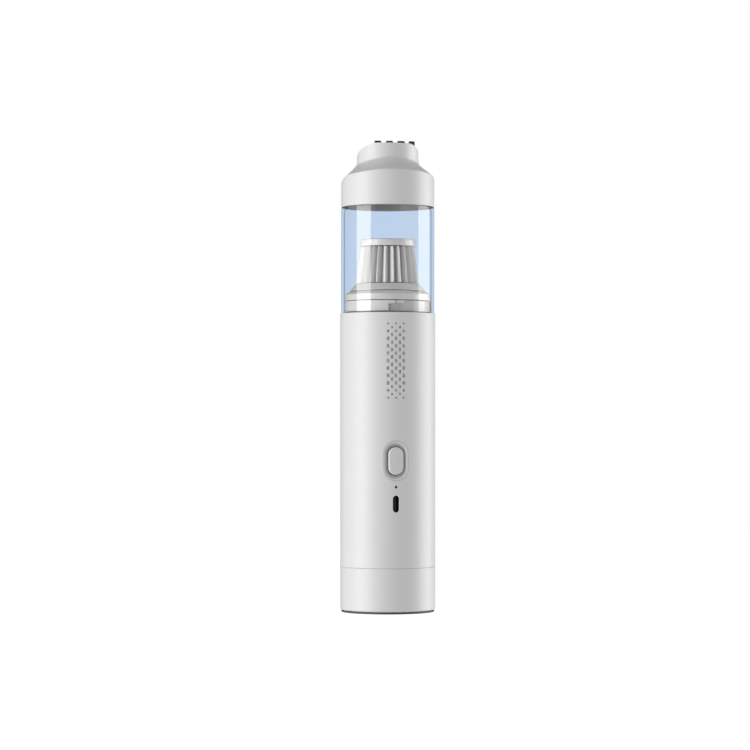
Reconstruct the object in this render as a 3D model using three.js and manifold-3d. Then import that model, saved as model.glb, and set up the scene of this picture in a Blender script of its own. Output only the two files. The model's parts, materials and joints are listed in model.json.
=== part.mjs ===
// A slim hand-held car vacuum cleaner that stands upright on its tail. From the foot up: tail cap, handle
// with two cells, control board, motor and fan, then the filter inside a clear dust cup, and the nozzle cap.
// Millimetres, +Z up, the front with the power button faces -Y.

import * as THREE from "three";
import { mergeVertices } from "three/addons/utils/BufferGeometryUtils.js";
import Module from "manifold-3d";

const wasm = await Module();
wasm.setup();

// Driving dimensions
const gap = 0.3; // clearance between neighbouring pieces
const overrun = 3; // how far a cutter reaches past what it cuts
const weldTolerance = 0.0001; // corners closer than this are one corner
const body = { radius: 25, wall: 2 };
const cup = { wall: 1.5, height: 55.2, neckWall: 1.5, neckHeight: 5.5, neckStep: 1.3 };
const tail = { height: 22.4, wall: 2, floor: 2.4, chamfer: 0.5, spigotHeight: 4, spigotWall: 1.5 };
const foot = { inset: 0.6, width: 4, height: 0.8, tongueInset: 1.2, tongueWidth: 1.4, tongueHeight: 1.2 };
const screw = {
  headRadius: 2.2, headHeight: 1.1, shankRadius: 1, tailLength: 8, boardLength: 5, motorLength: 4.2,
};
const cell = { radius: 9.2, length: 65, spacing: 0.8, back: 3.2, tipRadius: 3.4, tipHeight: 1.2, edge: 0.8 };
const strip = { width: 8, thickness: 0.3, tongueWidth: 3.4 };
const cradle = {
  legCircle: 15, legRadius: 3.4, legLength: 20.2, plate: 1.6, wall: 1.6, postRadius: 2.6,
  ringWall: 1.5, ringHeight: 12, notchHalfWidth: 7.4, notchHeight: 4.6,
};
const board = { width: 22, length: 43, below: 9.1, thickness: 1.6, face: 16, holeSide: 8, holeInset: 5 };
const button = {
  height: 79.4, width: 7.9, length: 14.5, round: 0.7, lip: 1.2, lipThickness: 0.8, sunk: 0.05, travel: 0.6,
};
const bezel = { width: 13.3, length: 21.4, rim: 0.5, dishDepth: 1.3, land: 0.5, lip: 1, lipThickness: 0.8 };
const tactSwitch = { size: 6, height: 2, plungerRadius: 1.6, floor: 0.5, spareTravel: 0.1 };
const socket = {
  below: 8.8, width: 9, thickness: 3.2, wall: 0.35, tongueWidth: 6.6, tongueThickness: 0.7, base: 1,
  tongueShare: 0.8,
};
const led = { below: 2.8, hole: 0.55, pipeRadius: 1.1, skin: 1.1, chipWidth: 1.6, chipHeight: 0.8 };
const vent = {
  rows: 21, below: 6.3, rowPitch: 1.92, columnPitch: 2.04, width: 1.75, length: 2.2, endWidth: 1, sides: 6,
  taperRows: 4,
};
const foam = { thickness: 1.2, halfAngle: 15, margin: 2, notchHalfAngle: 16 };
const damper = { wall: 2.8, lip: 2.4, lipWidth: 1.8, height: 11 };
const motor = { radius: 13.9, wall: 1, length: 30, top: 1.2, bossWall: 1.7, bossHeight: 2.2, screwCircle: 8 };
const bell = { height: 2.5, spigotHeight: 2, spigotWall: 1.6, bossWall: 1.3 };
const bearing = { radius: 3, length: 3.7 };
const shaft = { radius: 1.15, tip: 0.3 };
const magnet = { thickness: 1.7, halfAngle: 62, length: 22, lift: 4.2 };
const armature = { length: 18, lift: 6.2, airGap: 0.5, slotHalfAngle: 8, hub: 4.6, poles: 3 };
const commutator = { radius: 3.3, length: 3.6 };
const motorPlate = { thickness: 2, slots: 8, slotHalfAngle: 14, slotInner: 16.8, slotOuter: 20.2 };
const diffuser = {
  height: 4.8, hubRadius: 16, wall: 1.4, disc: 1.2, vanes: 9, vane: 1.2, sweep: 20, eye: 5,
};
const impeller = {
  radius: 17, plate: 1.2, bladeHeight: 7.5, hubRadius: 3.6, blades: 9, blade: 1, sweep: 55, running: 1,
};
const shroud = { foamGap: 0.8, wall: 1.4, top: 1.4, drop: 1.8, eye: 9, lipHeight: 1.6, headroom: 5.6 };
const guard = { thickness: 1.2, lift: 0.7, slots: 10, slotHalfAngle: 11, slotInner: 5, slotOuter: 17 };
const collar = {
  spigot: 3.7, height: 6.3, wall: 2.7, top: 2.5, recess: 1.05, hookHeight: 1.9, start: -9, hookEnd: 0.5,
  blockStart: 1.5, blockEnd: 12.2, end: 81, lugs: 2, slotOverlap: 0.5,
};
const oring = { section: 1.2, below: 0.8 };
const lug = { start: -8, end: -0.6 };
const filter = {
  spigotRadius: 14.7, spigotLength: 5.6, spigotWall: 1.9, flangeWall: 3.2, flangeHeight: 4.9, shoulder: 19.95,
  ledge: 1.5, coneHeight: 3.7, coneTop: 16.8, pleatHeight: 19.1, pleatBottom: 16.5, pleatTop: 14.05,
  pleats: 24, pleatDepth: 2.7, paper: 0.9, discRadius: 14.6, discHeight: 3.6, discRound: 0.9,
};
const core = { radius: 10.2, wall: 1.4, slots: 8, slotWidth: 2.6, band: 2.5, plugLength: 5 };
const gasket = { width: 1.7, height: 2.4, below: 0.4 };
const cap = {
  plugWall: 1.8, wallHeight: 11.3, creaseHeight: 16.1, creaseInset: 2.1, baseHeight: 23.2, baseWall: 2.3,
  tubeWall: 1.7, lipHeight: 32.1, lipWall: 1.3, wall: 1.8, ledge: 1.8,
};
const mouth = { flatHalfAngle: 38, fall: 18.7, bore: 14.6, lining: 1.2, liningDepth: 8.8 };
const teeth = { count: 4, width: 3.7, pitch: 5.9, height: 1.5 };
const seat = {
  wall: 2.3, depth: 10, earThickness: 1.6, earInner: 3.6, earDrop: 2.2, earRise: 1, pinRadius: 0.7,
};
const flap = { overlap: 1.3, thickness: 1.2, barrel: 1.7, halfWidth: 3.2 };
const lead = { radius: 0.8, spread: 4.2, standOff: 1.2, drop: 6 };

// Tilt of the cap's two oblique edges, rise per millimetre towards the front
const creaseTilt = 0.112;
const baseTilt = 0.077;

// Facets of turned pieces
const outerSides = 40;
const innerSides = 24;
const smallSides = 10;

// Radii and heights that follow from the driving dimensions
const ledHeight = button.height - bezel.length / 2 - led.below;
const socketHeight = ledHeight - socket.below;
const boardBottom = socketHeight - board.below;
const boardTop = boardBottom + board.length;
const bodyBore = body.radius - body.wall;
const fitRadius = bodyBore - gap;
const tailBottom = foot.height + gap;
const tailTop = tailBottom + tail.height;
const bodyBottom = tailTop + gap;
const legBottom = tailBottom + tail.floor + gap;
const cradleBottom = legBottom + cradle.legLength;
const linkBottom = cradleBottom + cradle.plate + gap;
const cellBottom = linkBottom + strip.thickness + gap;
const cellSide = cell.radius + cell.spacing / 2;
const tabBottom = cellBottom + cell.length + gap;
const topPlate = tabBottom + strip.thickness + gap;
const cradleTop = topPlate + cradle.plate;
const damperBottom = cradleTop + gap;
const bellBottom = damperBottom + damper.lip + gap;
const canBottom = bellBottom + bell.height + gap;
const canTop = canBottom + motor.length;
const plateBottom = canTop + gap;
const diffuserBottom = plateBottom + motorPlate.thickness + gap;
const diffuserTop = diffuserBottom + diffuser.height;
const impellerBottom = diffuserTop + impeller.running;
const impellerTop = impellerBottom + impeller.plate + impeller.bladeHeight;
const shroudBottom = diffuserTop + gap;
const shroudTop = impellerTop + shroud.headroom;
const collarBottom = shroudTop + gap;
const bodyTop = collarBottom + collar.spigot;
const collarTop = bodyTop + collar.height;
const ventTop = bodyTop - vent.below;
const ventBottom = ventTop - (vent.rows - 1) * vent.rowPitch;
const foamTop = collarBottom - gap;
const foamBottom = ventBottom - foam.margin;
const foamInner = fitRadius - foam.thickness;
const shroudRadius = foamInner - shroud.foamGap;
const flangeBottom = collarTop + gap;
const flangeTop = flangeBottom + filter.flangeHeight;
const coneBottom = flangeTop + gap;
const coneTop = coneBottom + filter.coneHeight;
const pleatBottom = coneTop + gap;
const pleatTop = pleatBottom + filter.pleatHeight;
const discBottom = pleatTop + gap;
const cupBottom = bodyTop + gap;
const cupTop = cupBottom + cup.height;
const cupBore = fitRadius + gap;
const cupRadius = cupBore + cup.wall;
const neckBore = cupBore - cup.neckStep;
const neckRadius = neckBore + cup.neckWall;
const capBottom = cupTop + gap;
const capWallTop = capBottom + cap.wallHeight;
const creaseHeight = capBottom + cap.creaseHeight;
const creaseRadius = cupRadius - cap.creaseInset;
const nozzleBase = capBottom + cap.baseHeight;
const lipTop = capBottom + cap.lipHeight;
const lipRadius = mouth.bore + cap.lipWall;
const neckTop = cupTop + cup.neckHeight;
const plugRadius = neckBore - gap - gap;
const plugBore = plugRadius - cap.plugWall;
const liningRadius = mouth.bore - gap;
const seatTop = lipTop - mouth.liningDepth - gap;
const seatBottom = seatTop - seat.depth;
const flapTop = seatBottom - gap;
const pinHeight = flapTop - flap.thickness / 2;
const seatBore = liningRadius - seat.wall;
const flapRadius = seatBore + flap.overlap;
const pinBack = liningRadius + gap + flap.barrel;
const earOuter = seat.earInner + seat.earThickness;
const earFront = Math.sqrt(seatBore ** 2 - earOuter ** 2) + gap;
const sealBottom = capBottom + oring.section;

// Solid helpers
function weld(geometry) {
  geometry.deleteAttribute("normal");
  geometry.deleteAttribute("uv");
  const merged = mergeVertices(geometry, weldTolerance);
  const corners = merged.index.array;
  const kept = [];
  for (let i = 0; i < corners.length; i += 3) {
    const [a, b, c] = corners.slice(i, i + 3);
    if (a !== b && b !== c && c !== a) kept.push(a, b, c);
  }
  merged.setIndex(signedVolume(merged, kept) < 0 ? kept.reverse() : kept);
  return merged;
}

function signedVolume(geometry, corners) {
  const position = geometry.getAttribute("position");
  const [a, b, c] = [new THREE.Vector3(), new THREE.Vector3(), new THREE.Vector3()];
  let volume = 0;
  for (let i = 0; i < corners.length; i += 3) {
    a.fromBufferAttribute(position, corners[i]);
    b.fromBufferAttribute(position, corners[i + 1]);
    c.fromBufferAttribute(position, corners[i + 2]);
    volume += a.dot(b.cross(c));
  }
  return volume;
}

function manifoldOf(geometry) {
  const vertProperties = new Float32Array(geometry.getAttribute("position").array);
  const triVerts = Uint32Array.from(geometry.index.array);
  return new wasm.Manifold(new wasm.Mesh({ numProp: 3, vertProperties, triVerts }));
}

function combined(operation, base, tools) {
  let result = manifoldOf(base);
  for (const tool of tools) result = result[operation](manifoldOf(tool));
  const { vertProperties, triVerts } = result.getMesh();
  const geometry = new THREE.BufferGeometry();
  geometry.setAttribute("position", new THREE.BufferAttribute(vertProperties, 3));
  return geometry.setIndex(Array.from(triVerts));
}

const join = (base, ...tools) => combined("add", base, tools);
const cut = (base, ...tools) => combined("subtract", base, tools);
const common = (base, ...tools) => combined("intersect", base, tools);

// A profile of [radius, height] points turned about Z: it starts and ends on the axis, or closes on itself.
function turned(profile, sides = outerSides) {
  const onAxis = profile[0][0] === 0;
  const points = (onAxis ? profile : [...profile, profile[0]]).map(([r, z]) => new THREE.Vector2(r, z));
  return weld(new THREE.LatheGeometry(points, sides).rotateX(Math.PI / 2));
}

const disc = (radius, bottom, top, sides) =>
  turned([[0, bottom], [radius, bottom], [radius, top], [0, top]], sides);

const ring = (bore, radius, bottom, top, sides) =>
  turned([[bore, bottom], [radius, bottom], [radius, top], [bore, top]], sides);

function block([x0, x1], [y0, y1], [z0, z1]) {
  const box = new THREE.BoxGeometry(x1 - x0, y1 - y0, z1 - z0);
  return weld(box.translate((x0 + x1) / 2, (y0 + y1) / 2, (z0 + z1) / 2));
}

function slab(outline, bottom, top, holes = []) {
  const shape = new THREE.Shape(outline.map(([x, y]) => new THREE.Vector2(x, y)));
  shape.holes = holes.map((hole) => new THREE.Path(hole.map(([x, y]) => new THREE.Vector2(x, y))));
  const slice = new THREE.ExtrudeGeometry(shape, { depth: top - bottom, bevelEnabled: false });
  return weld(slice.translate(0, 0, bottom));
}

// Angles round the handle are in degrees from the front, positive towards +X.
function around(radius, degrees) {
  const angle = THREE.MathUtils.degToRad(degrees);
  return [radius * Math.sin(angle), -radius * Math.cos(angle)];
}

function sector(bore, radius, from, to, bottom, top, steps = 8) {
  const angles = Array.from({ length: steps + 1 }, (_, i) => from + ((to - from) * i) / steps);
  const outside = angles.map((angle) => around(radius, angle));
  const inside = angles.map((angle) => around(bore, angle)).reverse();
  return slab([...outside, ...inside], bottom, top);
}

// An upright outline with half-round ends, centred on the origin.
function pill(width, length, sides = smallSides) {
  const radius = Math.min(width, length) / 2;
  const [across, along] = [width / 2 - radius, length / 2 - radius];
  return Array.from({ length: 2 * sides }, (_, i) => {
    const angle = (Math.PI * (i + 0.5)) / sides;
    const [x, y] = [Math.cos(angle), Math.sin(angle)];
    return [radius * x + across * Math.sign(x), radius * y + along * Math.sign(y)];
  });
}

const circle = (radius, sides = outerSides) =>
  Array.from({ length: sides }, (_, i) => around(radius, (360 * i) / sides));

const shifted = (outline, dx, dy) => outline.map(([x, y]) => [x + dx, y + dy]);
const raised = (outline, height, tilt = 0) => outline.map(([x, y]) => [x, y, height - y * tilt]);

// Joins rings of points that follow each other; the ends are flat, or the last ring meets the first.
function lofted(rings, looped = false) {
  const count = rings[0].length;
  const corners = [];
  const last = looped ? rings.length : rings.length - 1;
  for (let i = 0; i < last; i += 1) {
    const [low, high] = [i * count, ((i + 1) % rings.length) * count];
    for (let j = 0; j < count; j += 1) {
      const next = (j + 1) % count;
      corners.push(low + j, low + next, high + next, low + j, high + next, high + j);
    }
  }
  for (let j = 1; j < count - 1 && !looped; j += 1) {
    const top = last * count;
    corners.push(0, j + 1, j, top, top + j, top + j + 1);
  }
  const geometry = new THREE.BufferGeometry();
  geometry.setAttribute("position", new THREE.Float32BufferAttribute(rings.flat(2), 3));
  return weld(geometry.setIndex(corners));
}

function screwSolid(length) {
  const { headRadius, headHeight, shankRadius } = screw;
  const profile = [[0, 0], [headRadius, 0], [headRadius, headHeight], [shankRadius, headHeight]];
  return turned([...profile, [shankRadius, headHeight + length], [0, headHeight + length]], smallSides);
}

function tube(points, radius) {
  const path = new THREE.CatmullRomCurve3(points.map((point) => new THREE.Vector3(...point)));
  const shape = new THREE.Shape(circle(radius, 6).map(([x, y]) => new THREE.Vector2(x, y)));
  const steps = 4 * (points.length - 1);
  return weld(new THREE.ExtrudeGeometry(shape, { steps, bevelEnabled: false, extrudePath: path }));
}

// Turns an upright piece so that its height points out of the front
const facing = (geometry) => geometry.rotateX(Math.PI / 2);

const finish = (color, roughness, metalness = 0) =>
  new THREE.MeshStandardMaterial({ color, roughness, metalness });

const warmGrey = finish(0xd3d3d2, 0.42);
const trimGrey = finish(0xc8c8c8, 0.4);
const darkRubber = finish(0x2a2e38, 0.8);
const clearBlue = finish(0xc5d5ec, 0.08);
const whitePlastic = finish(0xe4e4e4, 0.4);
const paper = finish(0xdedede, 0.9);
const steel = finish(0xb4b6ba, 0.3, 1);
const brass = finish(0xc8a868, 0.35, 1);
const blackPlastic = finish(0x1b1d22, 0.5);
const greenBoard = finish(0x1f5c3a, 0.5);
const cellWrap = finish(0x3a6fb0, 0.4);
const greyFoam = finish(0x85878a, 0.95);
const redWire = finish(0xa52a2a, 0.5);
const clearLens = finish(0xe8ecf0, 0.1);

const vacuum = new THREE.Group();

function add(parent, name, geometry, material, place = [0, 0, 0], turn = [0, 0, 0]) {
  const mesh = new THREE.Mesh(geometry, material);
  mesh.name = name;
  mesh.position.set(...place);
  mesh.rotation.set(...turn);
  parent.add(mesh);
  return mesh;
}

function group(parent, place, turn = [0, 0, 0]) {
  const holder = new THREE.Group();
  holder.position.set(...place);
  holder.rotation.set(...turn);
  parent.add(holder);
  return holder;
}

// Foot and tail cap
const footRadius = body.radius - foot.inset;
const tongueRadius = footRadius - foot.tongueInset;
const tongueBore = tongueRadius - foot.tongueWidth;
const legAngles = [180, 60, -60];

function footRing() {
  const bore = footRadius - foot.width;
  const tongueTop = foot.height + foot.tongueHeight;
  const outside = [[bore, 0], [footRadius, 0], [footRadius, foot.height], [tongueRadius, foot.height]];
  const inside = [[tongueRadius, tongueTop], [tongueBore, tongueTop], [tongueBore, foot.height]];
  return turned([...outside, ...inside, [bore, foot.height]], innerSides);
}

function tailCap() {
  const [floorTop, bore] = [tail.floor, body.radius - tail.wall];
  const spigotTop = tail.height + tail.spigotHeight;
  const spigotBore = fitRadius - tail.spigotWall;
  const shell = turned([
    [0, 0], [body.radius - tail.chamfer, 0], [body.radius, tail.chamfer], [body.radius, tail.height],
    [fitRadius, tail.height], [fitRadius, spigotTop], [spigotBore, spigotTop],
    [spigotBore, tail.height - tail.wall], [bore, tail.height - 2 * tail.wall], [bore, floorTop],
    [0, floorTop],
  ]);
  const groove = ring(tongueBore - gap, tongueRadius + gap, -overrun, foot.tongueHeight, innerSides);
  const holes = legAngles.flatMap((angle) => {
    const [x, y] = around(cradle.legCircle, angle);
    const bore = disc(screw.shankRadius + gap, -overrun, floorTop + overrun, smallSides);
    const sink = disc(screw.headRadius + gap, -overrun, screw.headHeight + gap, smallSides);
    return [bore.translate(x, y, 0), sink.translate(x, y, 0)];
  });
  return cut(shell, groove, ...holes);
}

add(vacuum, "foot_ring", footRing(), darkRubber);
const tailGroup = group(vacuum, [0, 0, tailBottom]);
add(tailGroup, "tail_cap", tailCap(), warmGrey);
legAngles.forEach((angle, i) => {
  const [x, y] = around(cradle.legCircle, angle);
  add(tailGroup, `tail_screw_${i + 1}`, screwSolid(screw.tailLength), steel, [x, y, 0]);
});

// Cutters for what shows on the front of the handle
const facesFront = (outline, inner, outer) => facing(slab(outline, inner, outer));
const throughWall = (outline) => facesFront(outline, bodyBore - overrun, body.radius + overrun);

function ventCutters() {
  const cutters = [];
  for (let row = 0; row < vent.rows; row += 1) {
    const fromEnd = Math.min(row, vent.rows - 1 - row);
    const share = Math.min(1, fromEnd / vent.taperRows);
    const width = vent.endWidth + (vent.width - vent.endWidth) * share;
    const length = vent.endWidth + (vent.length - vent.endWidth) * share;
    const columns = row % 2 === 0 ? [-2, 0, 2] : [-1, 1];
    for (const column of columns) {
      const hole = throughWall(pill(width, length, vent.sides / 2));
      const turn = (column * vent.columnPitch) / body.radius;
      cutters.push(hole.rotateZ(turn).translate(0, 0, ventTop - row * vent.rowPitch));
    }
  }
  return cutters;
}

function bodyShell() {
  const bezelHole = pill(bezel.width + 2 * gap, bezel.length + 2 * gap);
  const pipePocket = circle(led.pipeRadius + gap, smallSides);
  return cut(
    ring(bodyBore, body.radius, bodyBottom, bodyTop),
    ...ventCutters(),
    throughWall(shifted(bezelHole, 0, button.height)),
    throughWall(shifted(pill(socket.thickness, socket.width), 0, socketHeight)),
    throughWall(shifted(circle(led.hole, smallSides), 0, ledHeight)),
    facesFront(shifted(pipePocket, 0, ledHeight), bodyBore - overrun, body.radius - led.skin),
  );
}

add(vacuum, "body_shell", bodyShell(), warmGrey);

// Power button, its switch, the board and what it carries. Here X is across, Y is up and Z is out.
const front = group(vacuum, [0, 0, 0], [Math.PI / 2, 0, 0]);
const bezelLipFace = Math.sqrt(bodyBore ** 2 - (bezel.width / 2 + bezel.lip) ** 2) - gap;
const bezelBack = bezelLipFace - bezel.lipThickness;
const buttonLipFace = bezelBack - gap;
const buttonBack = buttonLipFace - button.lipThickness;
const boardFace = board.face;
const switchBack = boardFace + gap;
const switchFront = switchBack + tactSwitch.height;
const plungerTip = buttonBack - gap;
const boardHoles = [-1, 1].map((side) => [side * board.holeSide, boardTop - board.holeInset]);
const lowerPosts = [-1, 1].map((side) => [side * board.holeSide, boardBottom + board.holeInset]);

function buttonBezel() {
  const { width, length, lip, rim, land, dishDepth } = bezel;
  const plug = slab(pill(width, length), bezelLipFace, body.radius + overrun);
  const lipPlate = slab(pill(width + 2 * lip, length + 2 * lip), bezelBack, bezelLipFace);
  const across = [button.width + 2 * gap, button.length + 2 * gap];
  const hole = slab(pill(...across), bezelBack - overrun, body.radius + overrun);
  const floor = pill(...across.map((size) => size + 2 * land));
  const brim = pill(width - 2 * rim, length - 2 * rim);
  const dishFloor = body.radius - dishDepth;
  const above = raised(brim, body.radius + overrun);
  const dish = lofted([raised(floor, dishFloor), raised(brim, body.radius), above]);
  const skin = new THREE.CylinderGeometry(body.radius, body.radius, length + overrun, outerSides);
  const inSkin = common(join(plug, lipPlate), weld(skin));
  return cut(inSkin, hole, dish);
}

function powerButton() {
  const { width, length, round, lip, sunk } = button;
  const face = body.radius - sunk;
  const rings = [[0, buttonLipFace], [0, face - round], [round / 4, face - round / 4], [round, face]];
  const key = lofted(rings.map(([inset, z]) => raised(pill(width - 2 * inset, length - 2 * inset), z)));
  return join(key, slab(pill(width + 2 * lip, length + 2 * lip), buttonBack, buttonLipFace));
}

function switchBody() {
  const half = tactSwitch.size / 2;
  const floor = switchBack + tactSwitch.floor;
  const hole = disc(tactSwitch.plungerRadius + gap, floor, switchFront + overrun, smallSides);
  return cut(block([-half, half], [-half, half], [switchBack, switchFront]), hole);
}

function controlBoard() {
  const half = board.width / 2;
  const holes = boardHoles.map(([x, y]) =>
    disc(screw.shankRadius + gap, boardFace - board.thickness - overrun, boardFace + overrun, smallSides)
      .translate(x, y, 0));
  const plate = block([-half, half], [boardBottom, boardTop], [boardFace - board.thickness, boardFace]);
  return cut(plate, ...holes);
}

const socketBack = boardFace + gap;
const socketFront = Math.sqrt(bodyBore ** 2 - (socket.thickness / 2 + socket.wall) ** 2) - gap;

function socketShell() {
  const outline = pill(socket.thickness + 2 * socket.wall, socket.width + 2 * socket.wall);
  return slab(outline, socketBack, socketFront, [pill(socket.thickness, socket.width)]);
}

function socketTongue() {
  const outline = pill(socket.thickness - 2 * gap, socket.width - 2 * gap);
  const base = slab(outline, socketBack, socketBack + socket.base);
  const [x, y] = [socket.tongueThickness / 2, socket.tongueWidth / 2];
  const tip = socketBack + (socketFront - socketBack) * socket.tongueShare;
  return join(base, block([-x, x], [-y, y], [socketBack, tip]));
}

add(front, "button_bezel", buttonBezel(), trimGrey, [0, button.height, 0]);
add(front, "power_button", powerButton(), trimGrey, [0, button.height, 0]);
const plungerBack = switchBack + tactSwitch.floor + button.travel + tactSwitch.spareTravel;
const plunger = disc(tactSwitch.plungerRadius, plungerBack, plungerTip, smallSides);
add(front, "switch_plunger", plunger, blackPlastic, [0, button.height, 0]);
add(front, "tact_switch", switchBody(), steel, [0, button.height, 0]);
add(front, "control_board", controlBoard(), greenBoard);
add(front, "usb_socket_shell", socketShell(), steel, [0, socketHeight, 0]);
add(front, "usb_tongue", socketTongue(), blackPlastic, [0, socketHeight, 0]);
const chipHalf = led.chipWidth / 2;
const chip = block([-chipHalf, chipHalf], [-chipHalf, chipHalf], [socketBack, socketBack + led.chipHeight]);
add(front, "led_chip", chip, clearLens, [0, ledHeight, 0]);
const pipeBack = socketBack + led.chipHeight + gap;
add(front, "light_pipe", disc(led.pipeRadius, pipeBack, body.radius - led.skin - gap, smallSides),
  clearLens, [0, ledHeight, 0]);
boardHoles.forEach(([x, y], i) => {
  const headFace = boardFace + gap + screw.headHeight;
  add(front, `board_screw_${i + 1}`, screwSolid(screw.boardLength), steel, [x, y, headFace], [Math.PI, 0, 0]);
});

// Battery cradle with its cells, strips and leads
const wallBack = -(cell.radius - cell.back) - gap;
const wallFront = wallBack - cradle.wall;
const postFace = -(boardFace - board.thickness - gap);
const damperRadius = motor.radius + gap + damper.wall;
const ringBore = damperRadius + gap;
const bellHole = motor.radius - damper.lipWidth;

// Lets the motor's leads through the front of the holder ring and of the damper
function frontNotch() {
  const half = cradle.notchHalfWidth;
  const heights = [cradleTop, cradleTop + cradle.notchHeight];
  return block([-half, half], [-fitRadius - overrun, -motor.radius / 2], heights);
}

const screwBore = (bottom, top) => disc(screw.shankRadius + gap, bottom, top, smallSides);

function batteryCradle() {
  const lowerRadius = fitRadius - tail.spigotWall - gap;
  const lower = disc(lowerRadius, cradleBottom, cradleBottom + cradle.plate, innerSides);
  const upper = ring(bellHole, fitRadius, topPlate, cradleTop, innerSides);
  const ringTop = cradleTop + cradle.ringHeight;
  const holder = ring(ringBore, ringBore + cradle.ringWall, cradleTop, ringTop, innerSides);
  const half = Math.sqrt(lowerRadius ** 2 - wallFront ** 2);
  const wall = block([-half, half], [wallFront, wallBack], [cradleBottom, cradleTop]);
  const legs = legAngles.map((angle) =>
    disc(cradle.legRadius, legBottom, cradleBottom + cradle.plate, smallSides)
      .translate(...around(cradle.legCircle, angle), 0));
  const posts = [...boardHoles, ...lowerPosts].map(([x, z]) =>
    facing(disc(cradle.postRadius, -wallBack, -postFace, smallSides)).translate(x, 0, z));
  const inFront = [-body.radius - overrun, postFace + gap + board.thickness];
  const flat = block([-body.radius, body.radius], inFront, [cradleBottom - overrun, cradleTop]);
  const tailScrewTop = tailBottom + screw.headHeight + screw.tailLength;
  const legBores = legAngles.map((angle) =>
    screwBore(legBottom - overrun, tailScrewTop + gap).translate(...around(cradle.legCircle, angle), 0));
  const postBores = boardHoles.map(([x, z]) =>
    facing(screwBore(boardFace - screw.boardLength, boardFace)).translate(x, 0, z));
  const tongues = [-1, 1].map((side) => {
    const [x, reach] = [side * lead.spread, strip.tongueWidth / 2 + gap];
    const depths = [wallFront - overrun, wallBack + overrun];
    return block([x - reach, x + reach], depths, [tabBottom - gap, topPlate]);
  });
  const plates = cut(join(lower, upper, holder, wall, ...legs), flat);
  return cut(join(plates, ...posts), frontNotch(), ...legBores, ...postBores, ...tongues);
}

function cellSolid() {
  const { radius, length, edge, tipRadius, tipHeight } = cell;
  const shoulder = length - tipHeight;
  return turned([
    [0, 0], [radius - edge, 0], [radius, edge], [radius, shoulder - edge], [radius - edge, shoulder],
    [tipRadius, shoulder], [tipRadius, length], [0, length],
  ], innerSides);
}

add(vacuum, "battery_cradle", batteryCradle(), blackPlastic);
add(vacuum, "battery_cell_left", cellSolid(), cellWrap, [-cellSide, cell.back, cellBottom]);
const cellTop = cellBottom + cell.length;
add(vacuum, "battery_cell_right", cellSolid(), cellWrap, [cellSide, cell.back, cellTop], [Math.PI, 0, 0]);
const stripHalf = strip.width / 2;
const linkHalf = cellSide + stripHalf;
const link = block([-linkHalf, linkHalf], [-stripHalf, stripHalf], [0, strip.thickness]);
add(vacuum, "cell_link_strip", link, steel, [0, cell.back, linkBottom]);

function cellTab(side) {
  const [x, y, thick] = [side * cellSide, cell.back, [0, strip.thickness]];
  const plate = block([x - stripHalf, x + stripHalf], [y - stripHalf, y + stripHalf], thick);
  const [centre, half] = [side * lead.spread, strip.tongueWidth / 2];
  const outer = cellSide - stripHalf + half;
  const across = side < 0 ? [-outer, centre + half] : [centre - half, outer];
  const bridge = block(across, [wallBack + gap, y], thick);
  const reach = wallFront - lead.standOff - lead.radius;
  return join(plate, bridge, block([centre - half, centre + half], [reach, y], thick));
}

const boardBack = -(boardFace - board.thickness);

function batteryLead(side) {
  const x = side * lead.spread;
  const start = wallFront - lead.standOff;
  const end = boardBack + gap;
  const low = boardTop - lead.drop;
  return tube([
    [x, start, tabBottom - gap], [x, start - lead.radius / 2, tabBottom - lead.drop / 2],
    [x, (start + end) / 2, low + lead.radius], [x, end, low],
  ], lead.radius);
}

function motorLead(side) {
  const inner = side * (lead.spread / 2);
  const rise = boardBack + gap + lead.radius;
  const top = damperBottom + lead.standOff;
  const end = -bearing.radius - lead.standOff;
  return tube([
    [inner, rise, boardTop - lead.drop], [inner, rise, topPlate],
    [inner, rise + lead.radius, top - lead.radius / 2], [inner, -motor.radius / 2, top],
    [inner, end, top + lead.radius / 2], [inner, end, bellBottom - gap],
  ], lead.radius);
}

add(vacuum, "battery_tab_positive", cellTab(-1), steel, [0, 0, tabBottom]);
add(vacuum, "battery_tab_negative", cellTab(1), steel, [0, 0, tabBottom]);
add(vacuum, "battery_lead_positive", batteryLead(-1), redWire);
add(vacuum, "battery_lead_negative", batteryLead(1), blackPlastic);
add(vacuum, "motor_lead_positive", motorLead(-1), redWire);
add(vacuum, "motor_lead_negative", motorLead(1), blackPlastic);

// Motor, its rubber damper and its mounting plate
const canBore = motor.radius - motor.wall;
const shaftBore = shaft.radius + gap;
const screwSides = [-1, 1].map((side) => side * motor.screwCircle);

function motorDamper() {
  const sleeve = ring(motor.radius + gap, damperRadius, 0, damper.height, innerSides);
  const lip = ring(bellHole, damperRadius - damper.wall / 2, 0, damper.lip, innerSides);
  return cut(join(sleeve, lip), frontNotch().translate(0, 0, -damperBottom - gap));
}

function motorCan() {
  const bossBore = bearing.radius + gap;
  const shell = turned([
    [canBore, 0], [motor.radius, 0], [motor.radius, motor.length], [bossBore + motor.bossWall, motor.length],
    [bossBore + motor.bossWall, motor.length + motor.bossHeight], [bossBore, motor.length + motor.bossHeight],
    [bossBore, motor.length - motor.top], [canBore, motor.length - motor.top],
  ], innerSides);
  const holes = screwSides.map((x) =>
    screwBore(motor.length - motor.top - overrun, motor.length + overrun).translate(x, 0, 0));
  return cut(shell, ...holes);
}

function endBell() {
  const { height, spigotHeight, spigotWall, bossWall } = bell;
  const bossBore = bearing.radius + gap;
  const top = height + spigotHeight;
  const spigotRadius = canBore - gap;
  return turned([
    [bossBore, 0], [motor.radius, 0], [motor.radius, height], [spigotRadius, height], [spigotRadius, top],
    [spigotRadius - spigotWall, top], [spigotRadius - spigotWall, height],
    [bossBore + bossWall, height], [bossBore + bossWall, top], [bossBore, top],
  ], innerSides);
}

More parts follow.
